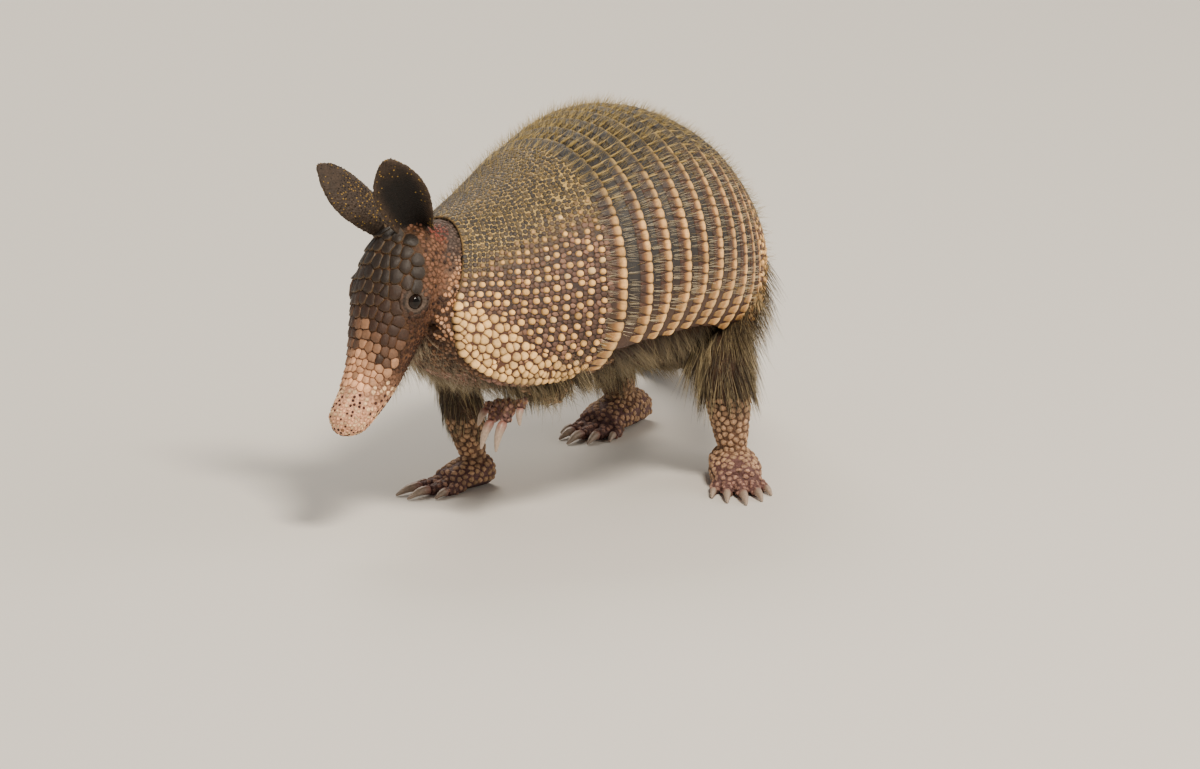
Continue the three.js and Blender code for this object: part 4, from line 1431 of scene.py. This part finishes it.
class ARMADILLO_OT_head_shield(bpy.types.Operator):
    """Lay the scutes of the crown and snout"""

    bl_idname = "armadillo.head_shield"
    bl_label = "Head shield"

    def execute(self, context):
        rng = np.random.default_rng(SEED + 2)
        t, phi = head_seeds(rng)
        clear = eye_gap(HEAD.point(t, phi)) > EYE_CLEAR
        t, phi = t[clear], phi[clear]
        skin = SKIN["surface"]
        ground = SkinGround(skin, skin.nearest(HEAD.point(t, phi)), HEAD.outward(t, phi), HEAD.axes(t)[0])
        pitch = head_pitch(t)
        wobble = rng.normal(0, 1, len(t))[:, None]
        # Painted highlight: along the face's midline, ridge carries the snout's pale colour further back, where
        # light falls on the bridge.
        ridge = np.exp(-((phi / 20) ** 2)) * smooth(0.34, 0.58, t)
        snout = smooth(0.5, 0.86, t + 0.12 * ridge + 0.035 * wobble[:, 0]) ** 1.2
        crown = blend("#22160c", "#3a2214", smooth(0.2, 0.5, t))
        top = blend(crown, "#f8ba8c", snout) * (1 + 0.18 * wobble).clip(0.6, 1.35)
        low = blend("#7d664a", "#8a6045", smooth(0.3, 0.62, t))
        height = 0.24 + 0.12 * pitch
        stock = Stock()
        lay_scutes(stock, ground, scute_shape(12, TIGHT), pitch * 0.76, height, low, top, 0.1, tilt=0.6)
        horn = bpy.data.materials["keratin_scute_grown"]
        stock.piece("head_shield_scutes", horn, "shell_horn", "head_shield")
        return {"FINISHED"}


def eye_gap(points):
    """How far points are from the nearer eye."""
    return np.min([np.linalg.norm(points - eye_frame(side)[0], axis=1) for side in EARS], axis=0)


def near_leg(points, name):
    """How far down a leg each point is, 0 to 1, and its distance from the leg's line."""
    t = np.linspace(0, 1, 50)
    line = LEGS[name].line(t)
    gaps = np.linalg.norm(points[:, None] - line[None], axis=2)
    return t[gaps.argmin(1)], gaps.min(1)


class ARMADILLO_OT_scales(bpy.types.Operator):
    """Lay the small scales of the face, neck, ears, legs, feet and tail"""

    bl_idname = "armadillo.scales"
    bl_label = "Scales"

    def execute(self, context):
        rng = np.random.default_rng(SEED + 3)
        skin = SKIN["surface"]
        small = scute_shape(6, LOW)
        material = bpy.data.materials["hide_skin_pebbled"]
        self.face(skin, rng, small, material)
        self.feet(skin, rng, small, material)
        self.tail(rng, scute_shape(9, DOMED))
        return {"FINISHED"}

    def face(self, skin, rng, shape, material):
        """Fine scales on the cheeks, neck and ears, left out round the eyes and under the shield."""
        chosen = (skin.points[:, 0] < SHIFT[0] - 62) & (skin.points[:, 2] > 20)
        seeds, normals = skin.points[chosen], skin.normals[chosen]
        t, phi = head_places(seeds)
        inside = np.linalg.norm(seeds - HEAD.point(t, phi), axis=1) < 3.2
        covered = inside & (t > 0.06) & (t < 0.81) & (np.abs(phi) < HEAD_SHIELD_REACH(t) + 4)
        ear_gap, ear_u, ear_v, ear_back = ear_places(seeds, normals)
        on_ear = (ear_gap < 2.2) & (seeds[:, 2] > 143)
        canal = on_ear & ~ear_back & (np.abs(ear_v) < 0.5) & (ear_u < 0.72)
        legs = np.zeros(len(seeds), bool)
        for name in ("fore_left", "fore_right"):
            down, away = near_leg(seeds, name)
            legs |= (away < LEGS[name].half(down) + 1) & (seeds[:, 2] < 92)
        kept = ~covered & (eye_gap(seeds) > LID_CLEAR) & ~legs & ~canal
        seeds, normals, t, inside, on_ear = (row[kept] for row in (seeds, normals, t, inside, on_ear))
        high = smooth(122, 134, seeds[:, 2])
        spacing = np.where(on_ear, 0.95, np.where(inside, 1.9 - 0.6 * smooth(0.76, 1, t), 1.7 - 0.4 * high))
        picked = spread(seeds, spacing, rng.permutation(len(seeds)))
        rows = (seeds, normals, t, inside, on_ear, spacing)
        seeds, normals, t, inside, on_ear, spacing = (row[picked] for row in rows)
        lie = np.where(inside[:, None], HEAD.axes(t)[0], np.array([0.4, 0, -0.9]))
        ground = SkinGround(skin, seeds, normals, lie)
        draw = rng.random(len(seeds))
        snout = smooth(0.6, 0.88, t) * inside
        cheek = blend("#835b44", "#492d1e", smooth(0.2, 0.42, t))
        tint = blend(cheek, "#ffc098", snout)
        neck = ~inside & ~on_ear
        nape = smooth(122, 136, seeds[:, 2])
        tint[neck] = blend("#c9926a", "#5c4c43", nape)[neck]
        tint[neck & (draw > 0.74)] = blend("#d9ab89", "#6b5950", nape)[neck & (draw > 0.74)]
        under = neck & (seeds[:, 2] < 94)
        tint[under] *= 0.4
        speck = draw < np.where(neck, 0.26, 0.14 + 0.12 * snout)
        tint[speck] = blend("#38211a", "#4a261e", snout)[speck]
        pale = (snout > 0.3) & (draw > 0.62)
        tint[pale] = paint("#ffd4a6")
        red = np.min([np.linalg.norm(seeds - root, axis=1) for root in ear_roots()], axis=0)
        tint = blend(tint, "#924539", 0.85 * (1 - smooth(4, 10, red)) * ~on_ear)
        # Painted highlight: about four in ten of the ear's scales are golden, for light caught on the pebbles.
        tint[on_ear] = blend("#2b211b", "#a3823f", draw > 0.62)[on_ear]
        tint *= varied(rng, len(seeds), 0.14)
        height = np.where(on_ear, 0.3, np.where(neck, 0.3 - 0.12 * nape, 0.4))
        size = spacing * np.where(on_ear, 0.52, np.where(speck, 0.5, 0.86))
        for name, part in (("face_scales", ~on_ear), ("ear_scales", on_ear)):
            stock = Stock()
            chosen = np.flatnonzero(part)
            lay_scutes(stock, ground, shape, size, height, tint * 0.62, tint, 0.18, chosen, roundness=0.1)
            stock.piece(name, material, "skin")

    def feet(self, skin, rng, shape, material):
        """Rounded scutes over the ankles, feet and toes."""
        stock = Stock()
        points = skin.points
        ankles = np.array([place for place, _ in FEET.values()]) + SHIFT
        nearest = np.linalg.norm(points[:, None] - ankles, axis=2).argmin(1)
        off_tail = np.linalg.norm(points - TAIL.line(np.array(0.1)), axis=1) > 30
        for number, (name, (_, heading)) in enumerate(FEET.items()):
            # How far round the ankle, how high up, and how far round under the sole the scutes go.
            reach, top, under = (52, 42, -0.55) if name.startswith("hind") else (46, 34, -0.55)
            if name == "fore_left":
                top, under = 74 + SHIFT[2], -2
            ankle = ankles[number]
            near = np.linalg.norm(points - ankle - (0, 0, 8), axis=1) < reach
            near &= (points[:, 2] < top) & (skin.normals[:, 2] > under) & (nearest == number) & off_tail
            chosen = np.flatnonzero(near)
            spacing = np.full(len(chosen), FOOT_PITCH)
            chosen = chosen[spread(points[chosen], spacing, rng.permutation(len(chosen)))]
            seeds = points[chosen]
            ahead = np.array([math.cos(math.radians(heading)), math.sin(math.radians(heading)), -0.3])
            ground = SkinGround(skin, seeds, skin.normals[chosen], np.broadcast_to(ahead, seeds.shape))
            toes = smooth(6, 26, (seeds - ankle) @ ahead)
            tint = blend("#c39c7a", "#a67d6f", toes) * varied(rng, len(seeds), 0.13)
            low = tint * 0.55
            lay_scutes(stock, ground, shape, FOOT_SCUTE, 0.62, low, tint, 0.26, roundness=0.1)
        stock.piece("foot_scales", material, "scaly_hide")

    def tail(self, rng, shape):
        """Rings of scutes round the tail: two rows to a ring at its base, fine scales at its tip."""
        ts, phis, sizes, rear = [], [], [], []
        t, row = 0.045, 0
        while t < 0.985:
            radius = float(TAIL_RADIUS(t))
            step = 0.26 * radius + 1.25
            around = max(6, int(2 * math.pi * radius / (0.30 * radius + 1.5)))
            ts.append(np.full(around, t))
            phis.append((np.arange(around) + 0.5 * (row % 2)) * 360 / around - 180)
            sizes.append(np.full(around, step))
            rear.append(np.full(around, row % 2))
            t += step / TAIL_LENGTH
            row += 1
        t, phi, size, rear = (np.concatenate(rows) for rows in (ts, phis, sizes, rear))
        ground = Ground(tail_skin, t, phi)
        tint = blend("#5d4a40", "#8a6f5c", rear * 0.6) * varied(rng, len(t), 0.12)
        height = 0.4 + 0.05 * TAIL_RADIUS(t) + 0.2 * rear
        stock = Stock()
        weight = rear * (0.5 * size) ** 2
        low = tint * 0.45
        lay_scutes(stock, ground, shape, size * 0.95, height, low, tint, 0.35, weight=weight, roundness=0.05)
        stock.piece("tail_scutes", bpy.data.materials["keratin_scute_grown"], "scaly_hide")


def ear_roots():
    """Just behind each ear, where the skin is red and thin."""
    return [np.array(root) + SHIFT + (9, sign * 3, -5) for (root, _, _), sign in zip(EARS.values(), (-1, 1))]


def ear_places(points, normals):
    """How far points are from the nearest ear, their u and v on it, and whether they are on its back."""
    grids = np.meshgrid(np.linspace(0.04, 1, 25), np.linspace(-1, 1, 15), indexing="ij")
    u, v = (grid.ravel() for grid in grids)
    tree = tree_of(np.vstack([ear_point(side, u, v, 0.9 + 0 * u) for side in EARS]))
    hits = [tree.find(point) for point in points.tolist()]
    number = np.array([hit[1] for hit in hits])
    faces = np.array([unit(np.array(face, float)) for _, _, face in EARS.values()])[number // len(u)]
    on_back = np.sum(normals * faces, axis=1) < 0
    return np.array([hit[2] for hit in hits]), u[number % len(u)], v[number % len(u)], on_back


# ---- Eyes and claws -----------------------------------------------------------------------------


class ARMADILLO_OT_eyes(bpy.types.Operator):
    """Set in the two dark eyes, each a ball with a domed cornea"""

    bl_idname = "armadillo.eyes"
    bl_label = "Eyes"

    def execute(self, context):
        material = eye_material()
        for side in EARS:
            centre, ahead = eye_frame(side)
            turn = Vector(ahead).to_track_quat("Z", "Y").to_euler()
            bpy.ops.object.select_all(action="DESELECT")
            bpy.ops.mesh.primitive_uv_sphere_add(
                segments=40, ring_count=24, radius=EYE_RADIUS * MM, location=centre * MM, rotation=turn
            )
            eye = bpy.context.object
            eye.name = eye.data.name = f"eye_{side}_ball"
            middle, look = Vector(centre * MM), Vector(ahead)
            bpy.ops.object.transform_apply(location=True, rotation=True)
            bpy.ops.object.mode_set(mode="EDIT")
            select_faces(lambda place, _: (place - middle).normalized().dot(look) > 0.86)
            bpy.ops.transform.translate(value=look * 0.28 * MM)
            bpy.ops.mesh.select_all(action="SELECT")
            bpy.ops.mesh.vertices_smooth(factor=0.5, repeat=2)
            bpy.ops.object.mode_set(mode="OBJECT")
            points = coordinates(eye.data) / MM
            facing = unit(points - centre) @ ahead
            iris = smooth(0.62, 0.74, facing) * (1 - smooth(0.86, 0.92, facing))
            give_tint(eye.data, blend("#0b0807", "#1f1510", iris))
            finished(eye, material, "eye", f"eye_{side}")
        return {"FINISHED"}


class ARMADILLO_OT_claws(bpy.types.Operator):
    """Round off the claws and give them worn horn, pink at the root"""

    bl_idname = "armadillo.claws"
    bl_label = "Claws"

    def execute(self, context):
        material = claw_material()
        for foot, (ankle, _) in FEET.items():
            ankle = np.array(ankle) + SHIFT
            for toe in CLAWS[foot[:4]]:
                node_name = f"{foot}_claw_{toe}"
                claw = bpy.data.objects.new(f"{node_name}_horn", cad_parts[node_name].data.copy())
                claw.data.name = claw.name
                context.scene.collection.objects.link(claw)
                select_only(claw)
                merge_doubles(0.01)
                apply_modifier(claw, "SUBSURF", levels=3, render_levels=3)
                apply_modifier(claw, "DISPLACE", strength=0.35 * MM, mid_level=0)
                points = coordinates(claw.data) / MM
                away = np.linalg.norm(points - ankle, axis=1)
                share = smooth(0.0, 0.55, (away - away.min()) / max(np.ptp(away), 1e-3))
                give_tint(claw.data, blend("#94665c", "#a39080", share))
                finished(claw, material, "claw_horn", node_name)
        return {"FINISHED"}


# ---- Coat ---------------------------------------------------------------------------------------

LEAST_HEIGHT = 0.15  # no hair comes nearer to the floor
HAIR_PATCH = 0.003  # size of one hair on the coat's unwrap


class Combed:
    """Hairs of one coat piece. Roots, the way they lie and lean, and their places on the coat's unwrap."""

    def __init__(self, joints, tile):
        self.points, self.faces = hair_shape(joints)
        self.stock = Stock()
        self.tile = np.array(tile)

    def comb(
        self, rng, roots, normals, lie, place, length, lift, radius, root_tint, tip_tint,
        sag=0.15, curl=0.1, locks=0,
    ):
        """Adds hairs. lift is how steeply they stand, in degrees, and sag how far their tips drop.

        Where there are locks, each hair leans as the nearest lock does and its tip is drawn to it."""
        count = len(roots)
        root_tint, tip_tint = (np.broadcast_to(row, (count, 3)) for row in (root_tint, tip_tint))
        normals = unit(normals)
        along = unit(lie - normals * np.sum(lie * normals, axis=1, keepdims=True))
        across = np.cross(normals, along)
        sway = rng.normal(0, 1, (count, 2))
        shade = 0.16 * rng.normal(0, 1, count)
        pull = np.zeros((count, 3))
        if locks:
            centres = rng.choice(count, locks, replace=False)
            tree = tree_of(roots[centres])
            own = centres[[tree.find(root)[1] for root in roots.tolist()]]
            sway = 0.4 * sway + 0.9 * sway[own]
            shade = shade + 1.3 * shade[own]
            pull = (roots[own] - roots) * 0.6
        steep = np.radians(lift * (1 + 0.25 * sway[:, 0]))[:, None]
        aside = across * (curl * 1.4 * sway[:, 1])[:, None]
        start = unit(along * np.cos(steep) + normals * np.sin(steep) + aside)
        side = unit(np.cross(start, normals + 0.01))
        up = np.cross(side, start)
        length = (length * (1 + 0.18 * rng.normal(0, 1, count)).clip(0.5, 1.5))[:, None, None]
        x, y, z = (self.points[None, :, axis, None] for axis in range(3))
        bow = (across * rng.normal(0, curl, count)[:, None] + np.array([0, 0, -1.0]) * sag)[:, None]
        middle = roots[:, None] + (start[:, None] * z + bow * z**2) * length + pull[:, None] * z**2
        made = middle + radius * (x * side[:, None] + y * up[:, None])
        made[..., 2] = np.maximum(made[..., 2], LEAST_HEIGHT)
        light = (1 + shade).clip(0.45, 1.6)[:, None, None]
        tints = (root_tint[:, None] * (1 - z**1.4) + tip_tint[:, None] * z**1.4) * light
        patch = np.stack([self.points[:, 0] * 0.3 + 0.5, self.points[:, 2]], 1) * HAIR_PATCH
        where = (self.tile[:2] + np.clip(place, 0, 1) * self.tile[2:])[:, None] + patch[None]
        self.stock.add_copies(made, self.faces, tints, where)

    def piece(self, name):
        """The hairs as a piece of the model."""
        self.stock.piece(name, bpy.data.materials["hair_bristle_grown"], "hair")


# Where each part of the skin lies on the coat's unwrap: its corner and its size.
TILES = {
    "shell": (0.01, 0.01, 0.47, 0.47),
    "belly": (0.51, 0.01, 0.47, 0.23),
    "head": (0.51, 0.27, 0.22, 0.22),
    "hind_left": (0.01, 0.51, 0.22, 0.22),
    "hind_right": (0.26, 0.51, 0.22, 0.22),
    "fore_left": (0.51, 0.51, 0.22, 0.22),
    "fore_right": (0.76, 0.51, 0.22, 0.22),
    "tail": (0.01, 0.76, 0.47, 0.22),
}


def round_place(phi, along):
    """A place on a part's own unwrap: round it, and along it."""
    return np.stack([(np.asarray(phi) + 180) % 360 / 360, along], 1)


# Radii of single hairs, coarser than real ones so that they show.
FINE_HAIR = 0.085
BRISTLE = 0.11


def shell_hair(settings, name, start, end, count, rng):
    """Hairs from between the scutes of a shield, lying back over them."""
    coat = Combed(3, TILES["shell"])
    u = rng.uniform(start, end, count)
    phi = rng.uniform(-1, 1, count) * shell_reach(u)
    keep = rng.random(count) < RING["half"](u) / 68
    u, phi = u[keep], phi[keep]
    ground = Ground(body_point_lowered, u, phi)
    flank = flank_share(u, phi)
    tint = blend("#cbb06e", "#d9cba6", 0.7 * flank + 0.15)
    length = settings.shell_hair / MM * (1 - 0.45 * flank) * np.interp(u, [0, 30, 72], [0.55, 0.8, 1.0])
    kept = rng.random(len(u)) < np.where(cream_share(u, phi) > 0.3, 0.12, 1 - 0.62 * flank)
    rows = (ground.seeds, ground.normal, ground.along, round_place(phi, u / SHELL_LENGTH), length, tint)
    roots, normals, lie, place, length, tint = (row[kept] for row in rows)
    coat.comb(
        rng, roots, normals, lie, place, length, 15, FINE_HAIR, tint * 0.8, tint * 1.15, sag=0.02, curl=0.1
    )
    coat.piece(name)


class ARMADILLO_OT_coat(bpy.types.Operator):
    """Grow the hair of the shell, belly, legs, throat and tail"""

    bl_idname = "armadillo.coat"
    bl_label = "Coat"

    def execute(self, context):
        settings = context.scene.armadillo_coat
        rng = np.random.default_rng(SEED + 4)
        hair_material()
        shell_hair(settings, "coat_shoulder", 1, SHOULDER_END - 4, 900, rng)
        shell_hair(settings, "coat_hip", band_end(BAND_COUNT) + 1, SHELL_LENGTH - 2, 1100, rng)
        self.back(settings, rng)
        self.bands(rng)
        self.belly(settings, rng)
        self.legs(settings, rng)
        self.throat(rng)
        self.tail(rng)
        return {"FINISHED"}

    def back(self, settings, rng):
        """Fine pale hairs that stand up all over the back, and show along its outline."""
        coat = Combed(2, TILES["shell"])
        count = 4800
        u = rng.triangular(3, 110, SHELL_LENGTH - 4, count)
        phi = rng.normal(0, 42, count).clip(-100, 100)
        ground = Ground(body_point_lowered, u, phi)
        tint = paint("#b39c62")
        coat.comb(
            rng, ground.seeds, ground.normal, ground.along, round_place(phi, u / SHELL_LENGTH),
            settings.shell_hair / MM * 1.5, 52, 0.09, tint * 0.8, tint, sag=0.0, curl=0.16,
        )
        coat.piece("coat_back")

    def bands(self, rng):
        """Hairs in a row along the front of each band, which point back over its scutes."""
        coat = Combed(3, TILES["shell"])
        count = 340
        for band in range(BAND_COUNT + 1):
            start = (SHOULDER_END if band < 2 else band_end(band - 1)) + (1.2 if band else -8.5)
            arc = rng.uniform(-1, 1, count) * 118
            groove = (np.round(arc / BLOCK_PITCH - 0.5) + 0.5) * BLOCK_PITCH + rng.normal(0, 0.45, count)
            arc = np.where(rng.random(count) < np.where(np.abs(arc) < 45, 0.7, 0.3), groove, arc)
            steps = np.linspace(0, float(shell_reach(start)) * 0.97, SHELL_STEPS)
            run = run_of(body_point(start, steps))
            phi = degrees_round(arc[np.abs(arc) < run[-1]], run, steps)
            u = start + rng.uniform(-0.7, 0.9, len(phi))
            ground = Ground(body_point_lowered, u, phi)
            flank = smooth(20, 60, np.abs(phi))
            tint = blend("#cdb26a", "#f6e6c0", flank)
            coat.comb(
                rng, ground.seeds, ground.normal, ground.along, round_place(phi, u / SHELL_LENGTH),
                7.0 - 1.4 * flank, 15, FINE_HAIR, tint * 0.8, tint, sag=0.0, curl=0.06,
            )
        coat.piece("coat_bands")

    def belly(self, settings, rng):
        """A fringe from under the shell's edge, and thinner hair across the belly."""
        skin = SKIN["surface"]
        coat = Combed(5, TILES["belly"])
        count = 4600
        u = rng.uniform(30, SHELL_LENGTH - 6, count)
        side = np.where(rng.random(count) < 0.5, -1, 1)
        beyond = rng.uniform(0, 1, count) ** 1.5
        phi = side * (shell_reach(u) - 1 + beyond * (180 - shell_reach(u)))
        near = skin.nearest(body_point(u, phi, -5.0, "belly"))
        outward = unit(body_point(u, phi, 1.0, "belly") - body_point(u, phi, 0.0, "belly"))
        lie = unit(np.stack([0.45 + 0 * u, 0.1 * side, -0.8 + 0 * u], 1))
        # Painted shade: the fringe's own colours are darkened for the shadow under the body.
        coat.comb(
            rng, near, outward, lie, round_place(phi, u / SHELL_LENGTH),
            settings.belly_hair / MM * (1 - 0.45 * beyond), 24, settings.hair_radius / MM,
            paint("#4d402f"), paint("#a39472"), sag=0.12, curl=0.16, locks=420,
        )
        coat.piece("coat_belly")

    def legs(self, settings, rng):
        """Long hair that fans down the upper and lower legs and thins out at the ankle."""
        skin = SKIN["surface"]
        for name, leg in LEGS.items():
            coat = Combed(5, TILES[name])
            hind = name.startswith("hind")
            count = 3000 if hind else 1500
            t = rng.uniform(0.1, 0.74 if hind else 0.86, count)
            phi = rng.uniform(-180, 180, count)
            lie = unit(leg.axes(t)[0] * 0.75 + np.array([0, 0, -0.45]))
            fade = np.interp(t, [0, 0.5, 0.74, 0.9], [0.9, 1.0, 0.62, 0.3])
            length = settings.leg_hair / MM * fade * (1 if hind else 0.5)
            dark, pale = paint("#281d15"), paint("#e6d09e")
            choice = rng.random(count)
            root = blend(dark, pale, 0.2 * choice)
            tip = blend(dark * 1.5, pale, smooth(0.45, 0.9, choice))
            coat.comb(
                rng, skin.nearest(leg.point(t, phi, -1.5)), leg.outward(t, phi), lie, round_place(phi, t),
                length, 13, settings.hair_radius / MM, root, tip, sag=0.14, curl=0.09, locks=count // 14,
            )
            coat.piece(f"coat_{name}")

    def throat(self, rng):
        """Pale bristles on the throat, cheeks and the underside of the neck."""
        skin = SKIN["surface"]
        coat = Combed(5, TILES["head"])
        for tube, low, high, start, count, length in (
            (HEAD, 0.3, 0.72, 118, 420, 7),
            (NECK, 0.1, 0.9, 105, 1500, 11),
        ):
            t = rng.uniform(low, high, count)
            phi = rng.uniform(start, 180, count) * np.where(rng.random(count) < 0.5, -1, 1)
            low_down = tube.point(t, phi)[:, 2] < rng.normal(96, 4, count)
            t, phi = t[low_down], phi[low_down]
            lie = np.array([[0.55, 0, -0.75]])
            coat.comb(
                rng, skin.nearest(tube.point(t, phi, -0.5)), tube.outward(t, phi), lie, round_place(phi, t),
                length, 26, BRISTLE, paint("#4b3a2e"), paint("#e0d0ae"), sag=0.1, curl=0.3,
            )
        coat.piece("coat_throat")

    def tail(self, rng):
        """A few short hairs from the joints of the tail's rings."""
        coat = Combed(3, TILES["tail"])
        count = 1100
        t = rng.uniform(0.02, 0.97, count)
        phi = rng.uniform(-125, 125, count)
        tint = paint("#b3a184")
        coat.comb(
            rng, TAIL.point(t, phi, -0.6), TAIL.outward(t, phi), TAIL.axes(t)[0], round_place(phi, t),
            3.6, 22, BRISTLE, tint * 0.6, tint, sag=0.03,
        )
        coat.piece("coat_tail")


# ---- Stage --------------------------------------------------------------------------------------

CAMERA_TURN = math.radians(-45)
CAMERA_LIFT = math.radians(14)
CAMERA_AWAY = 4720
CAMERA_SIGHT = 50  # metres
LOOK_AT = (0, 0, 88.5)
LOOK_OFFSET = (3.78, -39.88)  # to the right and up, so that the animal stands left of and above the middle


class ARMADILLO_OT_stage(bpy.types.Operator):
    """Set the floor, the lights and the camera"""

    bl_idname = "armadillo.stage"
    bl_label = "Stage"

    def execute(self, context):
        settings = context.scene.armadillo_stage
        bpy.ops.object.select_all(action="DESELECT")
        bpy.ops.mesh.primitive_grid_add(x_subdivisions=8, y_subdivisions=8, size=settings.floor_size)
        floor = context.object
        floor.name = "floor"
        floor.data.materials.append(floor_material(settings.floor_colour))
        self.lights(context, settings)
        self.camera(context, settings)
        return {"FINISHED"}

    def lights(self, context, settings):
        """A large soft key from the front left, a weaker fill from behind, and an even grey sky."""
        centre = Vector((0, 0, 0.08))
        for name, place, size, share in (
            ("key", (-0.7, -1.7, 2.2), 0.6, 1.0),
            ("fill", (1.5, -1.3, 1.0), 1.6, 0.2),
            ("back", (0.9, 1.5, 1.8), 1.2, 0.35),
        ):
            bpy.ops.object.light_add(type="AREA", location=place)
            light = context.object
            light.name = light.data.name = name
            light.rotation_euler = (Vector(place) - centre).to_track_quat("Z", "Y").to_euler()
            light.data.size = size
            light.data.energy = settings.key_power * share
            light.data.color = hex_colour("#fff1de")
        world = bpy.data.worlds.new("studio")
        world.use_nodes = True
        sky = world.node_tree.nodes["Background"]
        wire(world.node_tree, sky, Color=(*hex_colour("#e6e6e4"), 1), Strength=0.45)
        context.scene.world = world

    def camera(self, context, settings):
        """A long lens from the animal's left front, a little above it."""
        a, e = CAMERA_TURN, CAMERA_LIFT
        right = np.array([math.cos(a), math.sin(a), 0])
        up = np.array([-math.sin(a) * math.sin(e), math.cos(a) * math.sin(e), math.cos(e)])
        back = np.cross(right, up)
        place = np.array(LOOK_AT) + SHIFT + right * LOOK_OFFSET[0] + up * LOOK_OFFSET[1] + back * CAMERA_AWAY
        bpy.ops.object.camera_add(location=place * MM)
        camera = context.object
        camera.rotation_euler = Vector(back).to_track_quat("Z", "Y").to_euler()
        camera.data.lens = settings.focal_length
        camera.data.clip_end = CAMERA_SIGHT
        context.scene.camera = camera


# ---- Add-on -------------------------------------------------------------------------------------

STEPS = (
    ARMADILLO_OT_shields,
    ARMADILLO_OT_bands,
    ARMADILLO_OT_skin,
    ARMADILLO_OT_head_shield,
    ARMADILLO_OT_scales,
    ARMADILLO_OT_eyes,
    ARMADILLO_OT_claws,
    ARMADILLO_OT_coat,
    ARMADILLO_OT_stage,
)
SETTINGS = {
    "armadillo_shell": ShellSettings,
    "armadillo_skin": SkinSettings,
    "armadillo_coat": CoatSettings,
    "armadillo_stage": StageSettings,
}


class ARMADILLO_PT_panel(bpy.types.Panel):
    """The steps that dress the armadillo, and their settings"""

    bl_idname = "ARMADILLO_PT_panel"
    bl_label = "Armadillo"
    bl_space_type = "VIEW_3D"
    bl_region_type = "UI"
    bl_category = "Armadillo"

    def draw(self, context):
        for step in STEPS:
            self.layout.operator(step.bl_idname)
        for name, group in SETTINGS.items():
            box = self.layout.box()
            for setting in group.__annotations__:
                box.prop(getattr(context.scene, name), setting)


def register():
    for group in (*SETTINGS.values(), *STEPS, ARMADILLO_PT_panel):
        bpy.utils.register_class(group)
    for name, group in SETTINGS.items():
        setattr(bpy.types.Scene, name, PointerProperty(type=group))


def unregister():
    for name in SETTINGS:
        delattr(bpy.types.Scene, name)
    for group in (ARMADILLO_PT_panel, *reversed(STEPS), *SETTINGS.values()):
        bpy.utils.unregister_class(group)


def main():
    register()
    for step in STEPS:
        part, name = step.bl_idname.split(".")
        getattr(getattr(bpy.ops, part), name)()


if __name__ == "__main__":
    main()
